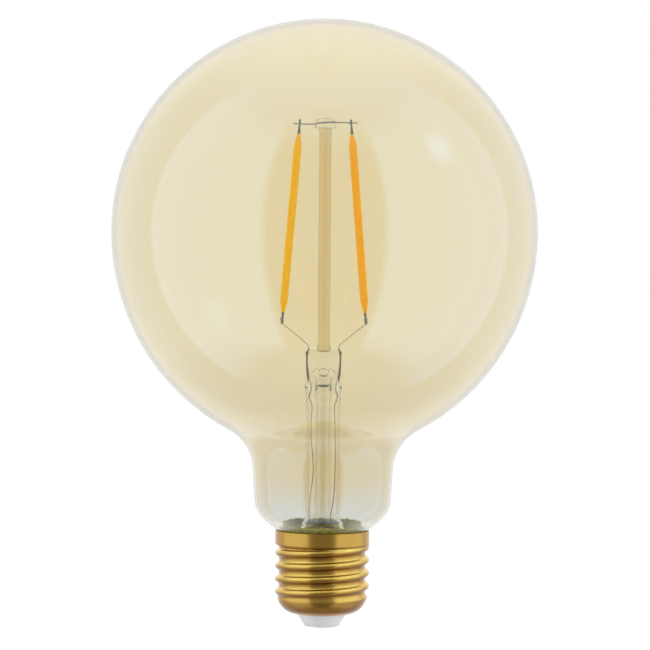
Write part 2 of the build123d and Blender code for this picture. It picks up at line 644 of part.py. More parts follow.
def neutral_wire():
    """Wire from the board's upper corner over the sleeve to the collar's wall."""
    over_z = THREAD_TOP_Z + SHELL_WALL + WIRE_R
    end_x = sqrt(COLLAR_IN_R ** 2 - LAP_Y ** 2) - WIRE_R / 2
    return wire([(NEUTRAL_X, LAP_Y, BOARD_TOP_Z - TAIL_LAP), (NEUTRAL_X, LAP_Y, over_z),
                 (end_x, LAP_Y, over_z)], WIRE_R, LEAD_BEND_R)


def solder_joints(wires):
    """Solder cones on the board's front, one over each wire's lap."""
    joints = []
    lap_z = BOARD_TOP_Z - TAIL_LAP / 2
    places = [(-TAIL_X, lap_z), (TAIL_X, lap_z), (NEUTRAL_X, lap_z),
              (LIVE_X, BOARD_FOOT_Z + LIVE_LAP / 2)]
    foot = (Align.CENTER, Align.CENTER, Align.MIN)
    for x, z in places:
        base = Plane(origin=(x, FACE_Y, z), z_dir=(0, -1, 0))
        cone = base * Cone(SOLDER_R, SOLDER_R / 2, SOLDER_HEIGHT, align=foot)
        for piece in wires:
            cone -= piece
        joints.append(cone)
    return Compound(children=joints)


# ---------------------------------------------------------------- assembly
def build():
    """Every node of the bulb by name."""
    nodes = {
        "globe_envelope": globe_envelope(),
        "stem_flare_tube": stem_flare_tube(),
        "exhaust_tube": exhaust_tube(),
        "centre_post": centre_post(),
        "post_button": post_button(),
        "bridge_wire": bridge_wire(),
        "screw_shell": screw_shell(),
        "cap_insulator": cap_insulator(),
        "centre_contact": centre_contact(),
        "basing_cement": basing_cement(),
        "driver_sleeve": driver_sleeve(),
        "main_board": main_board(),
        "wireless_board": radio_board(),
        "header_pins": header_pins(),
        "pin_header": pin_header(),
        "bulk_capacitor": bulk_capacitor(),
        "inductor_core": inductor_core(),
        "inductor_winding": inductor_winding(),
        "fusible_resistor": fusible_resistor(),
        "bridge_rectifier": on_board(BOARD_WIDTH / 4, BOARD_TOP_Z - RECTIFIER_DROP, RECTIFIER),
        "driver_chip": on_board(0, BOARD_FOOT_Z + DRIVER_CHIP_RISE, DRIVER_CHIP),
        "chip_resistors": chip_row(*CHIP_RESISTOR_ROW, CHIP_RESISTOR),
        "chip_capacitors": chip_row(*CHIP_CAPACITOR_ROW, CHIP_CAPACITOR),
        "live_wire": live_wire(),
        "neutral_wire": neutral_wire(),
    }
    nodes.update(radio_parts())
    for name, side in SIDES.items():
        nodes[f"{name}_lead_wire"] = lead_wire(side)
        nodes[f"{name}_dumet_seal"] = dumet_seal(side)
        nodes[f"{name}_tail_wire"] = tail_wire(side)
        for piece, solid in filament_pieces().items():
            nodes[f"{name}_filament_{piece}"] = on_filament(side, solid)
    wires = [nodes[name] for name in ("left_tail_wire", "right_tail_wire", "neutral_wire", "live_wire")]
    nodes["solder_joints"] = solder_joints(wires)
    return nodes


for node, shape in build().items():
    export_step(shape, f"parts/{node}.step")
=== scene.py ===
from math import atan2, cos, degrees, pi, radians, sin, sqrt, tan

import bmesh
import bpy
import numpy as np
from mathutils import Matrix, Vector, noise


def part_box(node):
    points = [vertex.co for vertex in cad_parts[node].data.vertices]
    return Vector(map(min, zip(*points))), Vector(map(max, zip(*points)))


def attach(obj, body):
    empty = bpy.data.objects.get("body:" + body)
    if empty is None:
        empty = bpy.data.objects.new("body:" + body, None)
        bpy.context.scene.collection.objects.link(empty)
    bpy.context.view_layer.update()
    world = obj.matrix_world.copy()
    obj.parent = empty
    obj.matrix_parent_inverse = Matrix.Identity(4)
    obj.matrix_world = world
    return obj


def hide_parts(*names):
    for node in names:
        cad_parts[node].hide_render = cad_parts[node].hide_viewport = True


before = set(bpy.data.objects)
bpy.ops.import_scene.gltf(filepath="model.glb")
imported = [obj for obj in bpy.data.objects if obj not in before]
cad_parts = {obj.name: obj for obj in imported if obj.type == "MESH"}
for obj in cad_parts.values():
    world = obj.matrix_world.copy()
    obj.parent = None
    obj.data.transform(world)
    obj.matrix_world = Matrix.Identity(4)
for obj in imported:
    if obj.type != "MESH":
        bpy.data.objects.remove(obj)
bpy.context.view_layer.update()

MM = 0.001
BODY = "root"
SIDES = {"left": -1, "right": 1}


def corners(node):
    """Lowest and highest corner of a CAD node, in millimetres."""
    low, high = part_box(node)
    return low / MM, high / MM


# ---------------------------------------------------------------- sizes read from the frame
GLOBE_R = corners("globe_envelope")[1].x
CROWN_Z = corners("globe_envelope")[1].z
GLOBE_Z = CROWN_Z - GLOBE_R
SEAL_Z = corners("globe_envelope")[0].z
CAP_FOOT_Z = corners("screw_shell")[0].z
CAP_HEIGHT = corners("screw_shell")[1].z
COLLAR_R = corners("screw_shell")[1].x
POST_R = corners("centre_post")[1].x
PRESS_TOP_Z = corners("centre_post")[0].z
BUTTON_FOOT_Z = corners("centre_post")[1].z
BUTTON_R = corners("post_button")[1].x
BRIDGE_Z = (corners("bridge_wire")[0].z + corners("bridge_wire")[1].z) / 2
BRIDGE_REACH = corners("bridge_wire")[1].x
EXHAUST_R = corners("exhaust_tube")[1].x
EXHAUST_TIP_Z = corners("exhaust_tube")[0].z
EXHAUST_TOP_Z = corners("exhaust_tube")[1].z
FILAMENT_Z = sum(corner.z for corner in corners("left_filament_phosphor")) / 2
FILAMENT_X = sum(corner.x for corner in corners("right_filament_phosphor")) / 2
FILAMENT_Y = sum(corner.y for corner in corners("right_filament_phosphor")) / 2
CONTACT_R = corners("centre_contact")[1].x

# ---------------------------------------------------------------- sizes kept from the part
GLASS_WALL = 0.7
FLANK_OFFSET = 3.2          # centre of the lower flank's arc, beyond the axis
NECK_R = 19.5
WAIST_Z = 43.5
WAIST_FILLET_R = 13.0
NECK_TAPER = 3.5            # degrees from the axis
NECK_SHOULDER_R = 8.0
NECK_CONE = 50.0            # degrees from the axis
SHELL_WALL = 0.25
RIM_GAP = 0.15
CEMENT_DEPTH = 3.6
CEMENT_DIP = 0.2
CEMENT_BORE_R = 9.8

PITCH = 3.629
THREAD_DEPTH = 1.1
COLLAR_LENGTH = 4.7
COLLAR_FADE = 1.1           # height over which the groove fades into the collar
THREAD_FOOT_Z = 7.2         # the thread rises out of the shoulder between these heights
THREAD_FULL_Z = 10.2
CREST_DROP = 4.5
SHOULDER_R = 5.5
SHOULDER_TOP_Z = 9.3
CAP_HOLE_R = 7.0
INSULATOR_TIP_R = 5.0
CONTACT_PROUD = 0.3
FLANGE_R = 9.0
FLANGE_TOP_Z = 5.2
CONTACT_THICK = 0.8
PIN_R = 0.8
PIN_TOP_Z = 6.4

STEM_R = 4.8
STEM_WALL = 0.9
FLARE_R = 5.0
FLARE_SLOPE = 20.0          # degrees from level at the flare's rim
EXHAUST_WALL = 0.8
SQUEEZED_END = 5.0          # exhaust tube flattened with the bore
PRESS_WIDTH = 10.4
PRESS_THICK = 3.6
PRESS_HEIGHT = 10.4
PRESS_EDGE_R = 1.5
PRESS_SHOULDER = 2.6
PRESS_SWELL = 0.35          # how far the flat bulges over the bore
PRESS_DENT = 0.3            # and sinks either side of the blow hole
BLOW_HOLE_R = 1.5
BLOW_HOLE_LIP_R = 2.25
BLOW_HOLE_DROP = 5.6
BLOW_HOLE_LIP = 0.34
BLOW_HOLE_DEPTH = 1.2

FILAMENT_LENGTH = 50.0
FILAMENT_WIDTH = 2.2
FILAMENT_THICK = 1.6
FILAMENT_EDGE_R = 0.75
FILAMENT_TAPER = 3.3
BEAD_TIP = 0.42             # tip section, share of the full one
FILAMENT_TILT = radians(4.65)
STRIP_WIDTH = 0.9
STRIP_THICK = 0.3
TOP_TAB = 3.7
BOTTOM_TAB = 2.9
TAB_INSET = 2.0             # end strips' start inside the coating
WELD_RISE = 2.65            # spot weld beyond the coating's top end
SOLDER_RISE = 0.9           # solder above the bottom strip's end
BRIDGE_TILT = radians(2.0)
WIRE_R = 0.2
LEAD_X = 4.25
LEAD_RISE = 1.5
LEAD_OVERLAP = 1.9
FINE_WIRE_R = 0.14          # leads, thinner than the bridge wire
TAIL_WIRE_R = 0.12

FLANK_R = GLOBE_R + FLANK_OFFSET
WAIST_X = NECK_R + WAIST_FILLET_R
FLANK_SWEEP = degrees(atan2(GLOBE_Z - WAIST_Z, WAIST_X + FLANK_OFFSET))
PRESS_FOOT_Z = PRESS_TOP_Z - PRESS_HEIGHT
TUBE_TOP_Z = PRESS_FOOT_Z - PRESS_SHOULDER
HOLE_Z = PRESS_TOP_Z - BLOW_HOLE_DROP
TAIL_X = (EXHAUST_R + STEM_R - STEM_WALL) / 2


# ---------------------------------------------------------------- outlines and skins
def arc(centre, radius, start, end, steps):
    """Points of an arc in the (radius, height) plane; angles in degrees from level, upwards."""
    turn = np.radians(np.linspace(start, end, steps + 1))
    return np.column_stack((centre[0] + radius * np.cos(turn), centre[1] + radius * np.sin(turn)))


def run(start, end, steps=1):
    """Evenly spaced points of a straight run."""
    return np.linspace(start, end, steps + 1)


def turned(outline, around=192):
    """Rings of a turned form, one for each (radius, height) point of its outline."""
    turn = np.linspace(0, 2 * pi, around, endpoint=False)
    rings = np.empty((len(outline), around, 3))
    rings[:, :, 0] = outline[:, :1] * np.cos(turn)
    rings[:, :, 1] = outline[:, :1] * np.sin(turn)
    rings[:, :, 2] = outline[:, 1:]
    return rings


def rounded_ring(width, depth, edge_r, around):
    """Evenly spaced points of a rounded rectangle about the origin, starting on +X."""
    flat_x, flat_y = width / 2 - edge_r, depth / 2 - edge_r
    fine = []
    for corner, (sx, sy) in enumerate(((1, 1), (-1, 1), (-1, -1), (1, -1))):
        turn = np.radians(np.linspace(90 * corner, 90 * corner + 90, 24))
        fine.append(np.column_stack((sx * flat_x + edge_r * np.cos(turn),
                                     sy * flat_y + edge_r * np.sin(turn))))
    fine = np.concatenate([[(width / 2, 0)], *fine, [(width / 2, 0)]])
    lengths = np.concatenate([[0], np.cumsum(np.linalg.norm(np.diff(fine, axis=0), axis=1))])
    wanted = np.linspace(0, lengths[-1], around, endpoint=False)
    return np.column_stack([np.interp(wanted, lengths, fine[:, axis]) for axis in (0, 1)])


def curved(points, steps=10):
    """Smooth line guided by a few points, starting and ending on the first and the last."""
    points = np.asarray(points, float)
    middles = (points[:-1] + points[1:]) / 2
    middles[0], middles[-1] = points[0], points[-1]
    line = [middles[0]]
    for low, guide, high in zip(middles[:-1], points[1:-1], middles[1:]):
        for share in np.arange(1, steps + 1) / steps:
            line.append((1 - share) ** 2 * low + 2 * share * (1 - share) * guide + share ** 2 * high)
    return np.array(line)


def along(line, radius, around=16):
    """Rings of a round wire along a line; the radius may change from point to point."""
    line = np.asarray(line, float)
    radius = np.broadcast_to(radius, len(line))
    heading = np.gradient(line, axis=0)
    heading /= np.linalg.norm(heading, axis=1)[:, None]
    across = np.cross(heading[0], (0.3, 1.0, 0.2))
    turn = np.linspace(0, 2 * pi, around, endpoint=False)[:, None]
    rings = []
    for point, way, size in zip(line, heading, radius):
        across = across - way * (across @ way)
        across /= np.linalg.norm(across)
        rings.append(point + size * (np.cos(turn) * across + np.sin(turn) * np.cross(way, across)))
    return np.array(rings)


def mesh_from(name, points, faces):
    """Object with one closed, outward-facing, smooth mesh; points are millimetres."""
    mesh = bpy.data.meshes.new(name)
    mesh.from_pydata((np.asarray(points) * MM).tolist(), [], faces)
    form = bmesh.new()
    form.from_mesh(mesh)
    bmesh.ops.remove_doubles(form, verts=form.verts, dist=1e-7)
    bmesh.ops.recalc_face_normals(form, faces=form.faces)
    if form.calc_volume(signed=True) < 0:
        bmesh.ops.reverse_faces(form, faces=form.faces)
    form.to_mesh(mesh)
    form.free()
    mesh.shade_smooth()
    mesh.set_sharp_from_angle(angle=radians(38))
    piece = bpy.data.objects.new(name, mesh)
    bpy.context.scene.collection.objects.link(piece)
    return piece


def skin(name, rings, loop=False):
    """Closed skin over rings of points; without loop, each end closes on its middle."""
    rings = np.asarray(rings, float)
    count, around = rings.shape[:2]
    points = rings.reshape(-1, 3)
    last = count if loop else count - 1
    faces = []
    for row in range(last):
        low, high = row * around, (row + 1) % count * around
        for step in range(around):
            beside = (step + 1) % around
            faces.append((low + step, low + beside, high + beside, high + step))
    if not loop:
        for row, centre in ((0, len(points)), ((count - 1), len(points) + 1)):
            low = row * around
            faces += [(centre, low + step, low + (step + 1) % around) for step in range(around)]
        points = np.concatenate([points, rings[0].mean(0)[None], rings[-1].mean(0)[None]])
    return mesh_from(name, points, faces)


def finished(piece, finish, slot, *nodes):
    """Gives a piece its material and body, and hides the CAD nodes it stands for; the slot is not used."""
    piece.data.materials.clear()
    piece.data.materials.append(finish)
    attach(piece, BODY)
    if nodes:
        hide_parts(*nodes)
    return piece


def uneven(rings, size, spacing, seed):
    """Rings pushed in and out a little by smooth noise, from their own middles."""
    rings = np.array(rings, float)
    for ring in rings:
        middle = ring.mean(0)
        for number, point in enumerate(ring):
            away = point - middle
            reach = np.linalg.norm(away)
            if reach > 1e-6:
                lift = noise.noise(Vector(point / spacing) + Vector((seed, seed, seed)))
                ring[number] = point + away / reach * size * lift
    return rings


# ---------------------------------------------------------------- colours and nodes
def linear(colour):
    """An sRGB hex colour such as "C89B3C" as linear RGBA."""
    channels = [int(colour[start:start + 2], 16) / 255 for start in (0, 2, 4)]
    return [c / 12.92 if c <= 0.04045 else ((c + 0.055) / 1.055) ** 2.4 for c in channels] + [1.0]


def add(tree, kind, inputs=None, stops=(), **settings):
    """Adds a node; an input is a value, or a node or output to link from, and a colour ramp's
    stops are (place, hex colour) pairs."""
    made = tree.nodes.new(kind)
    for setting, value in settings.items():
        setattr(made, setting, value)
    for socket, value in (inputs or {}).items():
        if isinstance(value, bpy.types.Node):
            value = value.outputs[0]
        if isinstance(value, bpy.types.NodeSocket):
            tree.links.new(value, made.inputs[socket])
        else:
            made.inputs[socket].default_value = value
    for number, (place, colour) in enumerate(stops):
        bar = made.color_ramp.elements
        stop = bar[number] if number < 2 else bar.new(place)
        stop.position = place
        stop.color = linear(colour)
    return made


def material(name):
    """Empty material and its node tree."""
    made = bpy.data.materials.new(name)
    made.use_nodes = True
    made.node_tree.nodes.clear()
    return made, made.node_tree


def every(mm):
    """A pattern's scale for marks that many millimetres apart."""
    return 1 / (mm * MM)


def work_out(tree, known, rows):
    """Adds a tree's sums row by row: a name, an operation, then values; words are known names."""
    for name, operation, *values in rows:
        values = [known.get(value, value) for value in values]
        if operation == "SMOOTHSTEP":
            sockets = ("Value", "From Min", "From Max", "To Min", "To Max")
            known[name] = add(tree, "ShaderNodeMapRange", dict(zip(sockets, values)),
                              interpolation_type=operation)
        else:
            known[name] = add(tree, "ShaderNodeMath", dict(enumerate(values)), operation=operation)
    return known


# ---------------------------------------------------------------- glass
AMBER = "F2EBD1"            # one wall of the globe seen square on
NECK_AMBER = "E9E0C4"       # the film is thicker round the neck
CLEAR = "E6E6E0"
PAINTED_EDGE_SHEEN = "F9F4E6"        # painted sheen: the film made paler where seen edge-on
PAINTED_RIM_SHADE = "9C8A66"        # painted shade: darker brown at the very rim, for the length of the wall seen through
SHEEN = "95D1FF"            # the studio as the globe mirrors it
AMBER_FROM_Z = 29.0         # the film starts to show above this height
AMBER_FULL_Z = 80.0


def blown_glass_with_amber_film():
    """Blown soda-lime glass with a fired amber film: warm and clear, with a painted sheen that makes
    it paler edge-on and painted shade that makes a brown rim, a cooler sheen where it mirrors the
    studio, faint ripples from blowing, and no film near the cap."""
    made, tree = material("blown_glass_with_amber_film")
    place = add(tree, "ShaderNodeTexCoord")
    height = add(tree, "ShaderNodeSeparateXYZ", {0: place.outputs["Object"]})
    share = add(tree, "ShaderNodeMapRange", {
        "Value": height.outputs["Z"], "From Min": AMBER_FROM_Z * MM, "From Max": AMBER_FULL_Z * MM})
    film = add(tree, "ShaderNodeValToRGB", {"Fac": share},
               ((0.0, CLEAR), (0.25, NECK_AMBER), (0.6, NECK_AMBER), (1.0, AMBER)))
    # painted sheen and shade by viewing angle: paler edge-on, darker brown at the very rim
    facing = add(tree, "ShaderNodeLayerWeight", {"Blend": 0.5})
    painted_edge_share = add(tree, "ShaderNodeMapRange", {
        "Value": facing.outputs["Facing"], "From Min": 0.3, "From Max": 0.9}, interpolation_type="SMOOTHSTEP")
    rim = add(tree, "ShaderNodeValToRGB", {"Fac": facing.outputs["Facing"]},
              ((0.78, PAINTED_EDGE_SHEEN), (0.95, PAINTED_RIM_SHADE)))
    tint = add(tree, "ShaderNodeMix", {0: painted_edge_share, 6: film, 7: rim}, data_type="RGBA")
    ripple = add(tree, "ShaderNodeTexNoise", {
        "Vector": place.outputs["Object"], "Scale": every(22.22), "Detail": 1.0})
    bump = add(tree, "ShaderNodeBump", {"Strength": 0.05, "Distance": 0.4 * MM, "Height": ripple})
    glass = add(tree, "ShaderNodeBsdfPrincipled", {
        "Base Color": tint.outputs[2], "Roughness": 0.0, "IOR": 1.6, "Transmission Weight": 1.0,
        "Specular IOR Level": 1.0, "Specular Tint": linear(SHEEN), "Normal": bump})
    passing = add(tree, "ShaderNodeBsdfTransparent", {"Color": tint.outputs[2]})
    path = add(tree, "ShaderNodeLightPath")
    both = add(tree, "ShaderNodeMixShader", {0: path.outputs["Is Shadow Ray"], 1: glass, 2: passing})
    add(tree, "ShaderNodeOutputMaterial", {"Surface": both})
    return made


def drawn_glass(name, tint):
    """Drawn lead-free tubing or rod worked in a flame: clear or faintly tinted, mirror smooth,
    with fine draw lines along its length."""
    made, tree = material(name)
    place = add(tree, "ShaderNodeTexCoord")
    stretch = add(tree, "ShaderNodeMapping", {
        "Vector": place.outputs["Object"], "Scale": (every(1.111), every(1.111), every(40))})
    lines = add(tree, "ShaderNodeTexNoise", {"Vector": stretch, "Scale": 1.0, "Detail": 2.0})
    bump = add(tree, "ShaderNodeBump", {"Strength": 0.12, "Distance": 0.05 * MM, "Height": lines})
    glass = add(tree, "ShaderNodeBsdfPrincipled", {
        "Base Color": linear(tint), "Roughness": 0.0, "IOR": 1.54, "Transmission Weight": 1.0,
        "Specular IOR Level": 0.3, "Normal": bump})
    passing = add(tree, "ShaderNodeBsdfTransparent", {"Color": linear(tint)})
    path = add(tree, "ShaderNodeLightPath")
    both = add(tree, "ShaderNodeMixShader", {0: path.outputs["Is Shadow Ray"], 1: glass, 2: passing})
    add(tree, "ShaderNodeOutputMaterial", {"Surface": both})
    return made


# ---------------------------------------------------------------- metals
def rolled_brass():
    """Deep-drawn brass sheet, thread rolled in and dip lacquered: warm yellow, satin, with painted
    brown shade on faces turned down under each crest and a painted highlight on faces turned up, with fine
    lines and cloudy patches."""
    made, tree = material("rolled_brass")
    place = add(tree, "ShaderNodeTexCoord")
    # painted light: faces turned up are painted bright as the ceiling's highlight, and faces turned down
    # under each crest are painted dark brown as shade
    flank = add(tree, "ShaderNodeSeparateXYZ", {0: place.outputs["Normal"]})
    facing_up = add(tree, "ShaderNodeMapRange", {"Value": flank.outputs["Z"], "From Min": -1.0, "From Max": 1.0})
    painted_flank_light = add(tree, "ShaderNodeValToRGB", {"Fac": facing_up},
               ((0.0, "C08A34"), (0.12, "7A4D16"), (0.42, "B07F2C"), (0.5, "C8963C"), (0.85, "F4CE62")))
    patches = add(tree, "ShaderNodeTexNoise", {
        "Vector": place.outputs["Object"], "Scale": every(3.846), "Detail": 5.0})
    cloudy = add(tree, "ShaderNodeMapRange", {"Value": patches, "From Min": 0.35, "From Max": 0.75,
                                              "To Min": 0.0, "To Max": 0.28})
    flank_light_and_patches = add(tree, "ShaderNodeMix", {0: cloudy, 6: painted_flank_light, 7: linear("AD7E2E")}, data_type="RGBA")
    rough = add(tree, "ShaderNodeMapRange", {"Value": patches, "To Min": 0.18, "To Max": 0.32})
    flat = add(tree, "ShaderNodeMapping", {
        "Vector": place.outputs["Object"], "Scale": (every(25), every(25), every(0.1923))})
    lines = add(tree, "ShaderNodeTexNoise", {"Vector": flat, "Scale": 1.0, "Detail": 3.0})
    bump = add(tree, "ShaderNodeBump", {"Strength": 0.18, "Distance": 0.03 * MM, "Height": lines})
    brass = add(tree, "ShaderNodeBsdfPrincipled", {
        "Base Color": flank_light_and_patches.outputs[2], "Metallic": 1.0, "Roughness": rough, "Normal": bump,
        "Coat Weight": 0.25, "Coat Roughness": 0.12})
    add(tree, "ShaderNodeOutputMaterial", {"Surface": brass})
    return made


def metal(name, light, dark, roughness, grain_mm, lines=(1.0, 1.0, 1.0)):
    """Metal whose colour and polish shift over its grain; the grain is stretched by lines."""
    made, tree = material(name)
    place = add(tree, "ShaderNodeTexCoord")
    stretch = add(tree, "ShaderNodeMapping", {"Vector": place.outputs["Object"], "Scale": lines})
    grain = add(tree, "ShaderNodeTexNoise", {"Vector": stretch, "Scale": every(grain_mm), "Detail": 4.0})
    colour = add(tree, "ShaderNodeValToRGB", {"Fac": grain}, ((0.3, dark), (0.7, light)))
    rough = add(tree, "ShaderNodeMapRange", {
        "Value": grain, "To Min": roughness * 0.7, "To Max": roughness * 1.4})
    bump = add(tree, "ShaderNodeBump", {"Strength": 0.25, "Distance": 0.02 * MM, "Height": grain})
    shader = add(tree, "ShaderNodeBsdfPrincipled", {
        "Base Color": colour, "Metallic": 1.0, "Roughness": rough, "Normal": bump})
    add(tree, "ShaderNodeOutputMaterial", {"Surface": shader})
    return made


# ---------------------------------------------------------------- plastics, ceramics, boards
def moulding(name, light, dark, roughness, grain_mm, relief_mm=0.02, coat=0.0):
    """Solid non-metal with a mottled colour and a fine surface relief."""
    made, tree = material(name)
    place = add(tree, "ShaderNodeTexCoord")
    grain = add(tree, "ShaderNodeTexNoise", {
        "Vector": place.outputs["Object"], "Scale": every(grain_mm), "Detail": 5.0})
    colour = add(tree, "ShaderNodeValToRGB", {"Fac": grain}, ((0.3, dark), (0.7, light)))
    rough = add(tree, "ShaderNodeMapRange", {
        "Value": grain, "To Min": roughness * 0.8, "To Max": roughness * 1.2})
    bump = add(tree, "ShaderNodeBump", {"Strength": 0.35, "Distance": relief_mm * MM, "Height": grain})
    shader = add(tree, "ShaderNodeBsdfPrincipled", {
        "Base Color": colour, "Roughness": rough, "Normal": bump, "Coat Weight": coat})
    add(tree, "ShaderNodeOutputMaterial", {"Surface": shader})
    return made


def white_insulator_plastic():
    """Injection-moulded PBT: bright white, satin, slightly see-through at thin edges, with a
    faint orange-peel skin."""
    made, tree = material("white_insulator_plastic")
    place = add(tree, "ShaderNodeTexCoord")
    skin_grain = add(tree, "ShaderNodeTexNoise", {
        "Vector": place.outputs["Object"], "Scale": every(0.4545), "Detail": 3.0})
    clouds = add(tree, "ShaderNodeTexNoise", {"Vector": place.outputs["Object"], "Scale": every(3.333)})
    colour = add(tree, "ShaderNodeValToRGB", {"Fac": clouds}, ((0.3, "CFCDC8"), (0.7, "DAD8D3")))
    bump = add(tree, "ShaderNodeBump", {"Strength": 0.2, "Distance": 0.02 * MM, "Height": skin_grain})
    shader = add(tree, "ShaderNodeBsdfPrincipled", {
        "Base Color": colour, "Roughness": 0.32, "Subsurface Weight": 0.3, "Subsurface Scale": 1.0 * MM,
        "Normal": bump})
    add(tree, "ShaderNodeOutputMaterial", {"Surface": shader})
    return made


def phosphor_silicone(name, core, edge):
    """Silicone loaded with phosphor powder, dispensed in one bead: strong warm colour with a painted
    glow that makes it brighter, a soft sheen, paler in its grain and slightly lumpy."""
    made, tree = material(name)
    place = add(tree, "ShaderNodeTexCoord")
    grain = add(tree, "ShaderNodeTexNoise", {
        "Vector": place.outputs["Object"], "Scale": every(1.111), "Detail": 4.0})
    colour = add(tree, "ShaderNodeValToRGB", {"Fac": grain}, ((0.35, core), (0.72, edge)))
    bump = add(tree, "ShaderNodeBump", {"Strength": 0.3, "Distance": 0.04 * MM, "Height": grain})
    # the emission is a painted glow; the bead is no lamp
    shader = add(tree, "ShaderNodeBsdfPrincipled", {
        "Base Color": colour, "Roughness": 0.5, "Specular IOR Level": 0.2, "Normal": bump,
        "Emission Color": colour, "Emission Strength": 0.42})
    add(tree, "ShaderNodeOutputMaterial", {"Surface": shader})
    return made


def solder_masked_board():
    """Glass-epoxy board under green solder mask: glossy green with copper tracks showing as
    paler raised lines every millimetre or so."""
    made, tree = material("solder_masked_board")
    place = add(tree, "ShaderNodeTexCoord")
    turn = add(tree, "ShaderNodeMapping", {
        "Vector": place.outputs["Object"], "Rotation": (radians(90), 0, 0), "Scale": [every(1)] * 3})
    tracks = add(tree, "ShaderNodeTexBrick", {
        "Vector": turn, "Color1": linear("2E7A44"), "Color2": linear("256B3A"), "Mortar": linear("4F9A5C"),
        "Scale": 0.4, "Mortar Size": 0.05, "Brick Width": 1.3, "Row Height": 0.5})
    bump = add(tree, "ShaderNodeBump", {
        "Strength": 0.4, "Distance": 0.05 * MM, "Height": tracks.outputs["Fac"]})
    shader = add(tree, "ShaderNodeBsdfPrincipled", {
        "Base Color": tracks.outputs["Color"], "Roughness": 0.3, "Normal": bump, "Coat Weight": 0.4})
    add(tree, "ShaderNodeOutputMaterial", {"Surface": shader})
    return made


def sleeved_can():
    """Shrink-sleeved aluminium can: near-black glossy film with one pale polarity stripe."""
    made, tree = material("sleeved_can")
    low, high = corners("bulk_capacitor")
    middle = (low + high) / 2 * MM
    place = add(tree, "ShaderNodeTexCoord")
    centred = add(tree, "ShaderNodeMapping", {
        "Vector": place.outputs["Object"], "Location": (-middle.x, -middle.y, 0.0)})
    where = add(tree, "ShaderNodeSeparateXYZ", {0: centred})
    angle = add(tree, "ShaderNodeMath", {0: where.outputs["Y"], 1: where.outputs["X"]}, operation="ARCTAN2")
    stripe = add(tree, "ShaderNodeMath", {0: angle, 1: radians(-60), 2: radians(18)}, operation="COMPARE")
    grain = add(tree, "ShaderNodeTexNoise", {"Vector": place.outputs["Object"], "Scale": every(1.4286)})
    film = add(tree, "ShaderNodeValToRGB", {"Fac": grain}, ((0.3, "15171D"), (0.7, "1E2129")))
    colour = add(tree, "ShaderNodeMix", {0: stripe, 6: film, 7: linear("B9BCC2")}, data_type="RGBA")
    shader = add(tree, "ShaderNodeBsdfPrincipled", {
        "Base Color": colour.outputs[2], "Roughness": 0.25, "Coat Weight": 0.5})
    add(tree, "ShaderNodeOutputMaterial", {"Surface": shader})
    return made


AMBER_GLASS = blown_glass_with_amber_film()
CLEAR_GLASS = drawn_glass("drawn_clear_glass", "FEFDFA")
POST_GLASS = drawn_glass("drawn_tinted_rod", "EEE2C0")
BRASS = rolled_brass()
# nickel over steel: pale grey, softly polished, with draw marks
NICKEL = metal("nickel_plated_steel", "DAD7D0", "ABA69B", 0.28, 0.15)
# tinned lead wire: pale, bright, softly frosted
LEAD_TIN = metal("tinned_lead_wire", "F2F0EB", "D2CEC4", 0.42, 0.15)
# copper-clad nickel-iron wire with its borate skin: dull pinkish brown
DUMET = metal("borated_dumet_wire", "CFA58E", "A67C68", 0.5, 0.2)
# tinned copper gone brown in the flame: greyish brown, satin
COPPER = metal("flame_browned_copper", "B39A88", "86705F", 0.35, 0.2, (1.0, 1.0, 0.2))
# enamelled copper: darker, glossy lines from turn to turn
ENAMELLED = metal("enamelled_copper_winding", "C27A45", "7A3F1E", 0.25, 0.12, (1.0, 6.0, 1.0))
# lead-free solder: bright, slightly frosted
SOLDER = metal("frosted_solder", "DADADC", "A9AAAE", 0.35, 0.25)
WHITE_PLASTIC = white_insulator_plastic()
# thin polyester sleeve: milky, dull
SLEEVE_PLASTIC = moulding("milky_sleeve_plastic", "E0DFD6", "CFCEC3", 0.55, 0.9)
# phenolic basing cement, baked: olive brown, gritty and slightly glossy where it wetted the glass
CEMENT = moulding("baked_basing_cement", "B8B05A", "857E32", 0.5, 0.45, 0.12, 0.3)
# fused glass stained by the cement under it: strong olive yellow, glossy, mottled
STAINED_BEAD = moulding("olive_stained_bead", "D9C93A", "948A1E", 0.35, 0.9, 0.15, 0.5)
# moulded epoxy packages: charcoal, dull, fine grit
EPOXY = moulding("moulded_black_epoxy", "2A2A2D", "1B1B1D", 0.55, 0.08)
# pressed and fired ferrite: dark grey, dry, pitted
FERRITE = moulding("fired_ferrite", "3B3B3F", "232326", 0.6, 0.12, 0.04)
# lacquered resistor body: glossy blue-green
LACQUER = moulding("resistor_lacquer", "6FA3AD", "588B96", 0.25, 0.5, 0.01, 0.5)
# fired chip ceramic: tan, satin
CERAMIC = moulding("fired_chip_ceramic", "C8AE84", "AE9468", 0.4, 0.2)
# sawn sapphire chips: pale yellow, smooth and glassy
LED_CRYSTAL = moulding("sawn_led_crystal", "E0D9A0", "C7BE7C", 0.2, 0.1, 0.005, 0.4)
YELLOW_PHOSPHOR = phosphor_silicone("yellow_phosphor_silicone", "F6BC00", "FFC800")
ORANGE_PHOSPHOR = phosphor_silicone("orange_phosphor_silicone", "FFAF00", "FFBC00")
BOARD = solder_masked_board()
CAN_SLEEVE = sleeved_can()


# ---------------------------------------------------------------- globe
def cone_radius(z, inset=0.0):
    """Radius of the glass cone above the seal, at a height and a depth in the wall."""
    rise = radians(NECK_CONE)
    return COLLAR_R - SHELL_WALL - RIM_GAP + (z - CAP_HEIGHT) * tan(rise) - inset / cos(rise)


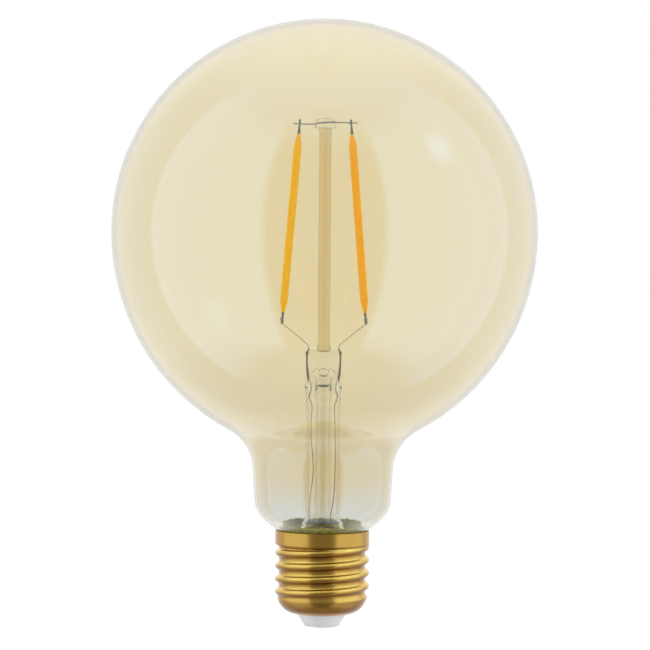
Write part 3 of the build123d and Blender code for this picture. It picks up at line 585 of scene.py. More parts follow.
def shoulder_centre():
    """Centre of the arc that touches both the neck's line and the cone's line."""
    taper, cone = radians(NECK_TAPER), radians(NECK_CONE)
    neck_x = WAIST_X - WAIST_FILLET_R * cos(taper)
    neck_z = WAIST_Z + WAIST_FILLET_R * sin(taper)
    neck_in = NECK_SHOULDER_R - neck_x * cos(taper) + neck_z * sin(taper)
    cone_in = NECK_SHOULDER_R - cone_radius(SEAL_Z) * cos(cone) + SEAL_Z * sin(cone)
    span = sin(cone - taper)
    return ((cone_in * sin(taper) - neck_in * sin(cone)) / span,
            (cone_in * cos(taper) - neck_in * cos(cone)) / span)


def glass_outline(inset):
    """One face of the envelope's wall from the crown to the seal."""
    join = 180 - FLANK_SWEEP
    crown = arc((0, GLOBE_Z), GLOBE_R - inset, 90, 0, 56)
    flank = arc((-FLANK_OFFSET, GLOBE_Z), FLANK_R - inset, 0, -FLANK_SWEEP, 36)
    waist = arc((WAIST_X, WAIST_Z), WAIST_FILLET_R + inset, join, 180 - NECK_TAPER, 28)
    shoulder = arc(shoulder_centre(), NECK_SHOULDER_R - inset, -NECK_TAPER, -NECK_CONE, 16)
    neck = run(waist[-1], shoulder[0], 8)
    cone = run(shoulder[-1], (cone_radius(SEAL_Z, inset), SEAL_Z), 6)
    return np.concatenate([crown, flank[1:], waist[1:], neck[1:], shoulder[1:], cone[1:]])


def globe():
    """Blown globe and neck: outer face, sealing edge, inner face."""
    outline = np.concatenate([glass_outline(0), glass_outline(GLASS_WALL)[::-1]])
    finished(skin("glass_globe", turned(outline, 240)), AMBER_GLASS, "amber_glass", "globe_envelope")


# ---------------------------------------------------------------- stem
def flare_outlines():
    """Upper face of the flare from its rim to the tube, and lower face from the bore to the rim."""
    slope = radians(FLARE_SLOPE)
    bend_x = STEM_R + FLARE_R
    land_r = cone_radius(SEAL_Z, GLASS_WALL) - RIM_GAP
    bend_z = SEAL_Z + FLARE_R * cos(slope) + (land_r - bend_x + FLARE_R * sin(slope)) * tan(slope)
    rim_r, low_z = cone_radius(SEAL_Z), SEAL_Z - STEM_WALL
    upper = np.concatenate([
        run((rim_r, low_z), (rim_r, SEAL_Z), 2),
        run((rim_r, SEAL_Z), (land_r, SEAL_Z), 2)[1:],
        arc((bend_x, bend_z), FLARE_R, 270 - FLARE_SLOPE, 180, 24)])
    under = arc((bend_x, bend_z), FLARE_R + STEM_WALL, 180, 270 - FLARE_SLOPE, 24)
    foot_r = under[-1][0] + (under[-1][1] - low_z) / tan(slope)
    return upper, np.concatenate([under, run(under[-1], (foot_r, low_z), 3)[1:]])


def press_ring(z, around):
    """Section of the squeezed end at a height: round below, a flat with a swollen middle above."""
    share = np.clip((z - TUBE_TOP_Z) / (PRESS_FOOT_Z - TUBE_TOP_Z + 1.5), 0, 1)
    share = share * share * (3 - 2 * share)
    turn = np.linspace(0, 2 * pi, around, endpoint=False)
    tube = STEM_R * np.column_stack((np.cos(turn), np.sin(turn)))
    flat = rounded_ring(PRESS_WIDTH, PRESS_THICK, PRESS_EDGE_R, around)
    section = (1 - share) * tube + share * flat
    over_bore = np.exp(-(section[:, 0] / 1.9) ** 2) * np.clip((PRESS_TOP_Z - z) / 3.0, 0, 1)
    beside_hole = np.exp(-((np.abs(section[:, 0]) - 3.2) / 0.9) ** 2) * np.exp(-((z - HOLE_Z) / 2.4) ** 2)
    lift = share * (PRESS_SWELL * over_bore - PRESS_DENT * beside_hole)
    section[:, 1] += np.sign(section[:, 1]) * lift * (np.abs(section[:, 1]) > 0.5)
    return np.column_stack((section, np.full(around, z)))


def blown_out(rings):
    """Opens the blow hole in the front of the press, with its rounded lip."""
    for ring in rings:
        front = ring[:, 1] < -0.6
        reach = np.hypot(ring[:, 0], ring[:, 2] - HOLE_Z)
        lip = BLOW_HOLE_LIP * np.exp(-((reach - BLOW_HOLE_LIP_R + 0.5) / 0.32) ** 2)
        pit = BLOW_HOLE_DEPTH * np.clip(1 - (reach / BLOW_HOLE_R) ** 2, 0, 1) ** 0.45
        ring[front, 1] += (pit - lip)[front]
    return rings


BORE_FOOT_Z = TUBE_TOP_Z - 2.0          # where the bore starts to close
BORE_END_Z = HOLE_Z + 0.9


def pinched(share):
    """Half the bore's depth at a share of its closing height."""
    return (STEM_R - STEM_WALL) * (1 - share) ** 1.3 + 0.5 * share * sqrt(max(1 - share ** 30, 0))


def bore_ring(share, around):
    """Section of the hollow under the press: round, then pinched flat and blunt at its end."""
    turn = np.linspace(0, 2 * pi, around, endpoint=False)
    bore_r = STEM_R - STEM_WALL
    width = bore_r * (1 + 0.05 * share) * sqrt(max(1 - share ** 36, 0))
    x, y = width * np.cos(turn), pinched(share) * np.sin(turn)
    arch = -1.3 * share * (np.abs(x) / bore_r) ** 1.5
    return np.column_stack((x, y, BORE_FOOT_Z + (BORE_END_Z - BORE_FOOT_Z) * share + arch))


def press_top(ring):
    """Rings that round off the press over its last stretch and close it."""
    rise = PRESS_TOP_Z - ring[0, 2]
    rings = []
    for turn in np.radians(np.linspace(9, 90, 10)):
        narrow = 1 - 0.16 * (1 - cos(turn))
        rings.append(ring * (narrow, narrow, 0) + (0, 0, PRESS_TOP_Z - rise * (1 - sin(turn))))
    return rings + [rings[-1] * (share, share, 1) for share in (0.9, 0.7, 0.45, 0.2, 0.0)]


def stem():
    """Flared tube, its squeezed end with the blow hole, and the bore up to where it closes."""
    around = 176
    top_round = 0.9
    upper, under = flare_outlines()
    tube_z = run((upper[-1][1],), (TUBE_TOP_Z,), 40)[1:, 0]
    tube = turned(np.column_stack((np.full(len(tube_z), STEM_R), tube_z)), around)
    press_z = np.arange(TUBE_TOP_Z + 0.15, PRESS_TOP_Z - top_round, 0.15)
    squeezed = blown_out(np.array([press_ring(z, around) for z in press_z]))
    outside = np.concatenate([turned(upper, around), tube, squeezed, press_top(squeezed[-1])])
    bore = np.array([bore_ring(share, around) for share in np.sin(np.linspace(0, pi / 2, 60))])
    low_bore = run((under[0][1],), (BORE_FOOT_Z,), 30)[1:-1, 0]
    bore_tube = turned(np.column_stack((np.full(len(low_bore), STEM_R - STEM_WALL), low_bore)), around)
    inside = np.concatenate([turned(under, around)[::-1], bore_tube, bore])
    rings = np.concatenate([outside[::-1], inside])
    finished(skin("glass_stem", rings), CLEAR_GLASS, "clear_glass", "stem_flare_tube")


def exhaust():
    """Exhaust tube with its melted tip, squeezed flat with the bore where it joins the press."""
    top_z = EXHAUST_TOP_Z + SQUEEZED_END
    bore_r = EXHAUST_R - EXHAUST_WALL
    taper_z = EXHAUST_TIP_Z + 2 * EXHAUST_R
    tip_r = 0.9
    outer = np.concatenate([
        [(0, EXHAUST_TIP_Z)], arc((0, EXHAUST_TIP_Z + tip_r), tip_r, -75, -25, 8),
        run((1.35, EXHAUST_TIP_Z + 1.6), (EXHAUST_R, taper_z), 6),
        run((EXHAUST_R, taper_z), (EXHAUST_R, top_z), 60)[1:]])
    inner = np.concatenate([
        run((EXHAUST_R - 0.04, top_z), (bore_r, EXHAUST_TOP_Z), 12),
        run((bore_r, EXHAUST_TOP_Z), (bore_r, taper_z), 50)[1:],
        run((bore_r, taper_z), (0.25, EXHAUST_TIP_Z + 2 * EXHAUST_WALL), 6)[1:],
        [(0, EXHAUST_TIP_Z + 1.9 * EXHAUST_WALL)]])
    rings = uneven(turned(np.concatenate([outer, inner]), 96), 0.04, 5.0, 3.1)
    for ring in rings:
        share = np.clip((ring[0, 2] - BORE_FOOT_Z) / (BORE_END_Z - BORE_FOOT_Z), 0, 1)
        ring[:, 1] *= min(1, (pinched(share) - 0.12) / EXHAUST_R)
    finished(skin("glass_exhaust_tube", rings), CLEAR_GLASS, "clear_glass", "exhaust_tube")


def post():
    """Glass rod, thickened where it was pushed into the press and into the button."""
    z = np.linspace(PRESS_TOP_Z - 0.2, BUTTON_FOOT_Z + 0.3, 120)
    foot = 0.35 * np.exp(-((z - PRESS_TOP_Z) / 0.9) ** 2)
    head = 0.15 * np.exp(-((z - BUTTON_FOOT_Z) / 0.8) ** 2)
    outline = np.column_stack((POST_R - 0.03 + foot + head, z))
    rings = uneven(turned(outline, 72), 0.03, 7.0, 8.4)
    finished(skin("glass_post", rings), POST_GLASS, "clear_glass", "centre_post")


def button():
    """Melted bead on the post: flat on top, widest low down, slightly uneven."""
    low, high = BUTTON_FOOT_Z + 0.2, BRIDGE_Z + 1.35
    guide = [(POST_R, low), (POST_R + 0.3, low + 0.05), (BUTTON_R + 0.2, low + 0.05),
             (BUTTON_R + 0.05, low + 1.0), (BUTTON_R - 0.15, high - 0.6), (BUTTON_R - 0.8, high),
             (0.5, high + 0.02), (0.0, high)]
    side = curved([(r, 0, z) for r, z in guide], 8)[:, (0, 2)]
    outline = np.concatenate([[(0, low)], side])
    rings = uneven(turned(outline, 96), 0.08, 2.2, 5.7)
    finished(skin("glass_button", rings), CLEAR_GLASS, "clear_glass", "post_button")


# ---------------------------------------------------------------- wires
def beside_filament(side, reach):
    """Point beside a filament's axis, in the wires' plane, at a distance up from its centre."""
    return np.array((side * (FILAMENT_X - reach * sin(FILAMENT_TILT)), 0.0,
                     FILAMENT_Z + reach * cos(FILAMENT_TILT)))


def lump(name, centre, size, seed, finish=NICKEL, slot="plated_steel"):
    """Small irregular blob, such as a spot weld."""
    turn = np.linspace(-90, 90, 15)
    outline = np.column_stack((np.cos(np.radians(turn)), np.sin(np.radians(turn))))
    rings = turned(outline, 24) * np.array(size) + np.array(centre)
    finished(skin(name, uneven(rings, 0.35 * min(size), 0.5, seed)), finish, slot)


def bridge():
    """Support wire through the button, with its ends nipped off."""
    reach = (BRIDGE_REACH - WIRE_R) / cos(BRIDGE_TILT)
    x = np.linspace(-reach, reach, 60)
    sag = 0.12 * np.sin(x / reach * pi * 1.5)
    line = np.column_stack((x, 0 * x, BRIDGE_Z + x * sin(BRIDGE_TILT) + sag))
    thick = WIRE_R * np.clip((reach + 0.05 - np.abs(x)) / 0.3, 0.35, 1)
    finished(skin("bridge_support_wire", along(line, thick)), NICKEL, "plated_steel", "bridge_wire")


def lead(name, side):
    """Lead wire from the lower tab across and down into the press."""
    tab_end = FILAMENT_LENGTH / 2 + BOTTOM_TAB
    corner = beside_filament(side, -tab_end - WIRE_R)
    exit_top = np.array((side * LEAD_X, 0.0, PRESS_TOP_Z + LEAD_RISE))
    across = (exit_top - corner) / np.linalg.norm(exit_top - corner)
    points = [beside_filament(side, LEAD_OVERLAP - tab_end), corner + (0, 0, 0.9), corner,
              corner + across * 0.9, corner + across * 3.5 + (0, 0.1, 0.05), exit_top - across * 1.6,
              exit_top, exit_top - (0, 0, 1.0), (side * LEAD_X, 0, PRESS_TOP_Z - 0.3)]
    finished(skin(f"{name}_lead", along(curved(points), FINE_WIRE_R)), LEAD_TIN, "plated_steel",
             f"{name}_lead_wire")


def dumet(name, side):
    """Sealed stretch of wire in the press, thicker at the joint with the lead."""
    foot_z = corners(f"{name}_dumet_seal")[0].z
    foot_x = side * TAIL_X
    points = [(side * LEAD_X, 0, PRESS_TOP_Z), (side * (LEAD_X + 0.05), 0, PRESS_TOP_Z - 4),
              (side * (LEAD_X - 0.1), 0, PRESS_TOP_Z - 8), (foot_x + side * 0.1, 0, foot_z + 2),
              (foot_x, 0, foot_z)]
    line = curved(points, 16)
    joint = 0.12 * np.exp(-((line[:, 2] - PRESS_TOP_Z + 0.7) / 0.5) ** 2)
    finished(skin(f"{name}_dumet", along(line, FINE_WIRE_R + joint)), DUMET, "dumet", f"{name}_dumet_seal")


# places that the loose tails pass, from the bore's top down to the flare
TAIL_PLACES = {
    "left": ((-3.6, 0.3, 55.0), (-2.9, 1.2, 48.0), (-2.7, 1.1, 42.0), (-3.7, 0.0, 35.5), (-3.8, -0.3, 30.0)),
    "right": ((3.4, 0.2, 55.0), (3.5, -0.3, 49.0), (3.35, -0.7, 44.0), (3.0, -1.5, 35.5), (1.75, -2.6, 29.4)),
}


def tail(name, side):
    """Copper tail, loose down the bore and out under the flare to the board."""
    low, high = corners(f"{name}_tail_wire")
    lap_y = low.y + WIRE_R
    points = [(side * TAIL_X, 0, high.z), (side * TAIL_X, 0, high.z - 1), *TAIL_PLACES[name],
              (side * TAIL_X, lap_y, SEAL_Z - 2), (side * TAIL_X, lap_y, low.z + 1),
              (side * TAIL_X, lap_y, low.z)]
    finished(skin(f"{name}_tail", along(curved(points), TAIL_WIRE_R)), COPPER, "copper", f"{name}_tail_wire")


# ---------------------------------------------------------------- filaments
def on_filament(side, rings):
    """Places rings drawn upright about the origin on one filament."""
    turn = -side * FILAMENT_TILT
    tilt = np.array(((cos(turn), 0, sin(turn)), (0, 1, 0), (-sin(turn), 0, cos(turn))))
    return rings @ tilt.T + np.array((side * FILAMENT_X, FILAMENT_Y, FILAMENT_Z))


def coating(name, side, finish, slot):
    """Phosphor bead with its tapered ends and hand-dispensed unevenness."""
    low, high = -FILAMENT_LENGTH / 2, FILAMENT_LENGTH / 2 - 0.4
    z = np.concatenate([run((low,), (low + FILAMENT_TAPER,), 14)[:, 0],
                        run((low + FILAMENT_TAPER,), (high - FILAMENT_TAPER,), 120)[1:, 0],
                        run((high - FILAMENT_TAPER,), (high,), 14)[1:, 0]])
    section = rounded_ring(FILAMENT_WIDTH, FILAMENT_THICK, FILAMENT_EDGE_R, 40)
    rings = []
    for height in z:
        from_tip = min((height - low) / FILAMENT_TAPER, (high - height) / FILAMENT_TAPER, 1)
        size = BEAD_TIP + (1 - BEAD_TIP) * from_tip
        size *= 0.75 + 0.25 * min(from_tip * 8, 1)
        rings.append(np.column_stack((section * size, np.full(len(section), height))))
    rings = uneven(rings, 0.05, 3.0, 11.0 + side)
    finished(skin(f"{name}_phosphor_bead", on_filament(side, rings)), finish, slot,
             f"{name}_filament_phosphor")


def tab(name, side, low, high, node):
    """Stamped end strip, necked beyond the coating and nipped at its end."""
    z = np.linspace(low, high, 30)
    outward = z if high > 0 else -z
    reach = (outward - outward.min()) / (outward.max() - outward.min())
    neck, foot = np.clip((reach - 0.35) / 0.3, 0, 1), np.clip((reach - 0.8) / 0.2, 0, 1)
    wide = STRIP_WIDTH * (1 - 0.38 * neck + 0.16 * foot)
    rings = []
    for height, width in zip(z, wide):
        section = rounded_ring(width, STRIP_THICK, 0.08, 24)
        rings.append(np.column_stack((section, np.full(len(section), height))))
    finished(skin(name, on_filament(side, uneven(rings, 0.03, 0.8, 2.0))), NICKEL, "plated_steel", node)


def filament(name, side, finish, slot):
    """One filament: bead, end strips and spot welds."""
    half = FILAMENT_LENGTH / 2
    coating(name, side, finish, slot)
    tab(f"{name}_top_tab", side, half - TAB_INSET, half + TOP_TAB, f"{name}_filament_top_terminal")
    tab(f"{name}_bottom_tab", side, -half - BOTTOM_TAB, -half + TAB_INSET,
        f"{name}_filament_bottom_terminal")
    top = beside_filament(side, half + WELD_RISE)
    foot = beside_filament(side, -half - BOTTOM_TAB + SOLDER_RISE)
    lump(f"{name}_top_weld", top + (0, -0.1, 0), (0.42, 0.34, 0.5), 1.7 + side)
    lump(f"{name}_bottom_weld", foot + (side * 0.1, -0.12, 0), (0.55, 0.4, 0.85), 4.2 + side,
         SOLDER, "solder")
    lump(f"{name}_bottom_bead", foot + (side * 0.12, -0.15, -0.95), (0.42, 0.34, 0.42), 6.3 + side,
         SOLDER, "solder")
    lump(f"{name}_lead_joint", (side * LEAD_X, 0, PRESS_TOP_Z - 0.1), (0.42, 0.4, 0.8), 9.1 + side)


# ---------------------------------------------------------------- screw cap
def shell_tree():
    """Rolled screw shell from its sizes: a sheet folded at the rim and wrapped round the axis,
    with one crest line climbing a pitch each turn and fading into the collar and the shoulder."""
    tree = bpy.data.node_groups.new("rolled_screw_shell", "GeometryNodeTree")
    sizes = {"Collar Radius": COLLAR_R * MM, "Wall": SHELL_WALL * MM, "Pitch": PITCH * MM,
             "Thread Depth": THREAD_DEPTH * MM, "Crest Height": (CAP_HEIGHT - CREST_DROP) * MM,
             "Thread Foot": THREAD_FOOT_Z * MM, "Thread Full": THREAD_FULL_Z * MM,
             "Collar Foot": (CAP_HEIGHT - COLLAR_LENGTH) * MM,
             "Collar Full": (CAP_HEIGHT - COLLAR_LENGTH + COLLAR_FADE) * MM,
             "Cap Height": CAP_HEIGHT * MM, "Hole Radius": CAP_HOLE_R * MM,
             "Shoulder Radius": SHOULDER_R * MM, "Shoulder Height": SHOULDER_TOP_Z * MM,
             "Shoulder Share": 0.22, "Groove Power": 0.8}
    for name in sizes:
        tree.interface.new_socket(name, in_out="INPUT", socket_type="NodeSocketFloat")
    for name in ("Columns", "Rows"):
        tree.interface.new_socket(name, in_out="INPUT", socket_type="NodeSocketInt")
    tree.interface.new_socket("Material", in_out="INPUT", socket_type="NodeSocketMaterial")
    tree.interface.new_socket("Geometry", in_out="OUTPUT", socket_type="NodeSocketGeometry")
    sizes.update({"Columns": 200, "Rows": 200})
    given = add(tree, "NodeGroupInput").outputs
    known = {name: given[name] for name in sizes}
    work_out(tree, known, (
        ("sheet_rows", "MULTIPLY_ADD", "Rows", 2.0, 2.0),
        ("points_down", "ADD", "sheet_rows", 1.0),
        ("points_round", "ADD", "Columns", 1.0)))
    sheet = add(tree, "GeometryNodeMeshGrid", {
        "Size X": 2 * pi, "Size Y": known["sheet_rows"], "Vertices X": known["points_round"],
        "Vertices Y": known["points_down"]})
    place = add(tree, "ShaderNodeSeparateXYZ", {0: add(tree, "GeometryNodeInputPosition")})
    known.update({"turn": place.outputs["X"], "down": place.outputs["Y"]})
    work_out(tree, known, (
        # rows count from the hole up the outside, over the rim and down the inside
        ("half_sheet", "DIVIDE", "sheet_rows", 2.0),
        ("row", "ADD", "down", "half_sheet"),
        ("last_row", "SUBTRACT", "sheet_rows", 1.0),
        ("from_last", "SUBTRACT", "last_row", "row"),
        ("nearer_end", "MINIMUM", "row", "from_last"),
        ("fold", "MAXIMUM", "nearer_end", 0.0),
        ("share", "DIVIDE", "fold", "Rows"),
        ("inner_middle", "MULTIPLY_ADD", "Rows", 1.5, 1.0),
        ("inner_reach", "MULTIPLY_ADD", "Rows", 0.5, 0.25),
        ("inside", "COMPARE", "row", "inner_middle", "inner_reach"),
        ("depth", "MULTIPLY", "inside", "Wall"),
        # the rounded shoulder, then the straight climb to the rim
        ("bend_share", "DIVIDE", "share", "Shoulder Share"),
        ("bent", "MINIMUM", "bend_share", 1.0),
        ("bend", "MULTIPLY_ADD", "bent", pi / 2, -pi / 2),
        ("bend_radius", "SUBTRACT", "Shoulder Radius", "depth"),
        ("bend_rise", "SINE", "bend"),
        ("bend_reach", "COSINE", "bend"),
        ("past_bend", "SUBTRACT", "share", "Shoulder Share"),
        ("whole_climb", "SUBTRACT", 1.0, "Shoulder Share"),
        ("climb_share", "DIVIDE", "past_bend", "whole_climb"),
        ("climb", "MAXIMUM", "climb_share", 0.0),
        ("straight", "SUBTRACT", "Cap Height", "Shoulder Height"),
        ("bent_height", "MULTIPLY_ADD", "bend_radius", "bend_rise", "Shoulder Height"),
        ("height", "MULTIPLY_ADD", "climb", "straight", "bent_height"),
        ("cup_radius", "MULTIPLY_ADD", "bend_radius", "bend_reach", "Hole Radius"),
        # how far a point is from the climbing crest line
        ("above_crest", "SUBTRACT", "height", "Crest Height"),
        ("turns_up", "DIVIDE", "above_crest", "Pitch"),
        ("turns_round", "DIVIDE", "turn", 2 * pi),
        ("phase", "SUBTRACT", "turns_up", "turns_round"),
        ("shifted", "ADD", "phase", 0.5),
        ("in_turn", "FRACT", "shifted"),
        ("off_middle", "SUBTRACT", "in_turn", 0.5),
        ("off_share", "ABSOLUTE", "off_middle"),
        ("off_crest", "MULTIPLY", "off_share", "Pitch"),
        ("half_pitch", "DIVIDE", "Pitch", 2.0),
        ("quarter_pitch", "DIVIDE", "Pitch", 4.0),
        ("off_root", "SUBTRACT", "half_pitch", "off_crest"),
        ("near", "MINIMUM", "off_crest", "off_root"),
        # crest and root are arcs of one radius that meet a quarter pitch away
        ("depth_squared", "MULTIPLY", "Thread Depth", "Thread Depth"),
        ("squares", "MULTIPLY_ADD", "half_pitch", "half_pitch", "depth_squared"),
        ("four_depths", "MULTIPLY", "Thread Depth", 4.0),
        ("roll", "DIVIDE", "squares", "four_depths"),
        ("roll_squared", "MULTIPLY", "roll", "roll"),
        ("near_squared", "MULTIPLY", "near", "near"),
        ("chord", "SUBTRACT", "roll_squared", "near_squared"),
        ("rise", "SQRT", "chord"),
        ("sagitta", "SUBTRACT", "roll", "rise"),
        ("in_root", "GREATER_THAN", "off_crest", "quarter_pitch"),
        ("deeper", "MULTIPLY_ADD", "sagitta", -2.0, "Thread Depth"),
        ("arcs", "MULTIPLY_ADD", "in_root", "deeper", "sagitta"),
        ("groove_share", "DIVIDE", "arcs", "Thread Depth"),
        ("wide_share", "POWER", "groove_share", "Groove Power"),
        ("groove", "MULTIPLY", "wide_share", "Thread Depth"),
        # the groove fades into the collar, and the thread into the shoulder
        ("below_collar", "SMOOTHSTEP", "height", "Collar Foot", "Collar Full", 1.0, 0.0),
        ("shown_groove", "MULTIPLY", "groove", "below_collar"),
        ("plain_radius", "SUBTRACT", "Collar Radius", "depth"),
        ("thread_radius", "SUBTRACT", "plain_radius", "shown_groove"),
        ("on_thread", "SMOOTHSTEP", "height", "Thread Foot", "Thread Full", 0.0, 1.0),
        ("past_cup", "SUBTRACT", "thread_radius", "cup_radius"),
        ("radius", "MULTIPLY_ADD", "past_cup", "on_thread", "cup_radius"),
        ("across", "COSINE", "turn"),
        ("along", "SINE", "turn"),
        ("x", "MULTIPLY", "radius", "across"),
        ("y", "MULTIPLY", "radius", "along")))
    wrapped = add(tree, "ShaderNodeCombineXYZ", {"X": known["x"], "Y": known["y"], "Z": known["height"]})
    shaped = add(tree, "GeometryNodeSetPosition", {"Geometry": sheet, "Position": wrapped})
    closed = add(tree, "GeometryNodeMergeByDistance", {"Geometry": shaped, "Distance": 1e-6})
    real = add(tree, "GeometryNodeRealizeInstances", {"Geometry": closed})
    coloured = add(tree, "GeometryNodeSetMaterial", {"Geometry": real, "Material": given["Material"]})
    add(tree, "NodeGroupOutput", {"Geometry": coloured})
    return tree, sizes


def grown(name, tree, sizes, finish):
    """Plain mesh object made by a geometry tree with the given sizes."""
    blank = bpy.data.objects.new(f"{name}_seed", bpy.data.meshes.new(f"{name}_seed"))
    bpy.context.scene.collection.objects.link(blank)
    modifier = blank.modifiers.new("grown", "NODES")
    modifier.node_group = tree
    for socket in tree.interface.items_tree:
        if socket.item_type == "SOCKET" and socket.in_out == "INPUT":
            modifier[socket.identifier] = finish if socket.name == "Material" else sizes[socket.name]
    evaluated = blank.evaluated_get(bpy.context.evaluated_depsgraph_get())
    mesh = bpy.data.meshes.new_from_object(evaluated)
    points = np.array([vertex.co for vertex in mesh.vertices]) / MM
    faces = [tuple(face.vertices) for face in mesh.polygons]
    blank.modifiers.remove(modifier)
    bpy.data.objects.remove(blank)
    return mesh_from(name, points, faces)


def insulator():
    """Moulded plug with a soft tip edge, a step round the contact's seat and a flange inside."""
    low = CONTACT_PROUD
    seat = arc((CAP_HOLE_R, SHOULDER_TOP_Z), SHOULDER_R - SHELL_WALL, -90, -68, 10)
    outer = np.concatenate([
        [(CONTACT_R + 0.05, low + 0.5), (CONTACT_R + 0.05, low + 0.12)],
        arc((CONTACT_R + 0.2, low + 0.15), 0.15, 180, 270, 4),
        arc((INSULATOR_TIP_R - 0.55, low + 0.6), 0.6, -90, -25, 10),
        run((INSULATOR_TIP_R + 0.1, low + 0.75), (CAP_HOLE_R - 0.08, CAP_FOOT_Z - 0.12), 10),
        [(CAP_HOLE_R - 0.03, CAP_FOOT_Z + 0.1)], seat, [(FLANGE_R, FLANGE_TOP_Z), (0.0, FLANGE_TOP_Z)]])
    outline = np.concatenate([[(0.0, low + 0.5)], outer])
    finished(skin("insulator_plug", turned(outline, 160)), WHITE_PLASTIC, "white_plastic", "cap_insulator")


def contact():
    """Riveted brass contact: a disc with a shallow dimple and a rolled edge, on its pin."""
    dimple, edge = 0.14, 0.3
    outline = np.concatenate([
        run((0.0, dimple), (0.5, dimple)), run((0.65, 0.6 * dimple), (0.9, 0.0), 3),
        arc((CONTACT_R - edge, edge), edge, -90, 0, 6),
        [(CONTACT_R, CONTACT_THICK), (PIN_R, CONTACT_THICK), (PIN_R, PIN_TOP_Z), (0.0, PIN_TOP_Z)]])
    finished(skin("brass_end_contact", turned(outline, 96)), BRASS, "lamp_brass", "centre_contact")


def cement():
    """Ring of basing cement between the collar and the glass, with a bead under the flare."""
    foot_z, top_z = CAP_HEIGHT - CEMENT_DEPTH, CAP_HEIGHT - CEMENT_DIP
    wall_r, glass_r = COLLAR_R - SHELL_WALL - 0.02, cone_radius(SEAL_Z) + 0.02
    under_z = SEAL_Z - STEM_WALL
    bead = curved([(glass_r, 0, under_z), (CEMENT_BORE_R + 0.6, 0, under_z - 0.1),
                   (CEMENT_BORE_R - 0.3, 0, under_z - 0.6), (CEMENT_BORE_R, 0, foot_z)], 6)
    outline = np.concatenate([
        run((CEMENT_BORE_R, foot_z), (wall_r, foot_z), 5), run((wall_r, foot_z), (wall_r, top_z), 12)[1:],
        run((wall_r, top_z), (cone_radius(top_z) + 0.02, top_z), 3)[1:],
        run((cone_radius(top_z) + 0.02, top_z), (glass_r, SEAL_Z), 4)[1:], bead[:-1, (0, 2)]])
    rings = turned(outline, 160)
    finished(skin("cement_ring", rings, loop=True), CEMENT, "cement", "basing_cement")


# radius of the bead's guide points and their height over the seal, round its section
BEAD_GUIDE = ((10.35, 0.12), (11.5, 1.1), (11.4, 2.2), (10.4, 2.9), (9.3, 1.9), (8.6, 1.0), (10.35, 0.12))


def seal_bead():
    """Bead where the flare and the neck melted together, stained olive by the cement under it."""
    side = curved([(r, 0, SEAL_Z + rise) for r, rise in BEAD_GUIDE], 6)[:-1, (0, 2)]
    rings = turned(side, 200)
    for ring in rings:
        lift = np.array([noise.noise(Vector((point[0] / 1.6, point[1] / 1.6, 0.4))) for point in ring])
        ring[:, 2] += 0.5 * lift * np.clip((ring[:, 2] - SEAL_Z) / 3, 0, 1)
    finished(skin("seal_bead", rings, loop=True), STAINED_BEAD, "cement")


# ---------------------------------------------------------------- make the pieces
globe()
stem()
exhaust()
post()
button()
bridge()
for side_name, side_sign in SIDES.items():
    lead(side_name, side_sign)
    dumet(side_name, side_sign)
    tail(side_name, side_sign)
filament("left", SIDES["left"], YELLOW_PHOSPHOR, "phosphor_yellow")
filament("right", SIDES["right"], ORANGE_PHOSPHOR, "phosphor_orange")
shell = grown("rolled_screw_shell", *shell_tree(), BRASS)
finished(shell, BRASS, "lamp_brass", "screw_shell")
insulator()
contact()
cement()
seal_bead()

KEPT = {
    "driver_sleeve": SLEEVE_PLASTIC, "main_board": BOARD, "wireless_board": BOARD, "header_pins": BRASS,
    "pin_header": EPOXY, "bulk_capacitor": CAN_SLEEVE, "inductor_core": FERRITE,
    "inductor_winding": ENAMELLED, "fusible_resistor": LACQUER, "bridge_rectifier": EPOXY,
    "driver_chip": EPOXY, "control_chip": EPOXY, "clock_crystal": NICKEL, "antenna": BRASS,
    "chip_resistors": EPOXY, "chip_capacitors": CERAMIC, "live_wire": COPPER, "neutral_wire": COPPER,
    "solder_joints": SOLDER,
}
for side_name in SIDES:
    KEPT[f"{side_name}_filament_substrate"] = NICKEL
    KEPT[f"{side_name}_filament_chips"] = LED_CRYSTAL
for node_name, finish in KEPT.items():
    node_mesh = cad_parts[node_name].data
    node_mesh.materials.clear()
    node_mesh.materials.append(finish)


# ---------------------------------------------------------------- studio
FLOOR_R = 1.1
SOFTBOX = 1.3               # brightness of the two tall softboxes
FRONT_CARD = 0.32           # dark card round the camera
FLAGS = 0.85                # grey flags beside the background
CEILING = 1.45
LOWER_ROOM = 0.78
ROUND_WAY = (0.794, -0.148, 0.591)      # towards the small round lamp
ROUND_LAMP = 1.1
BOX_WHITE = (0.84, 1.0, 1.3, 1.0)       # softboxes, cooler than the room
ROOM_WHITE = (0.95, 1.0, 1.12, 1.0)
SENSOR_WIDTH = 36.0
FOCAL_LENGTH = 168.92308
CAMERA_SPOT = Vector((0.0005, -0.847, 0.1083))
CAMERA_AIM = Vector((0.0003, 0.0, 0.0841))
CAMERA_ROLL = radians(0.45)


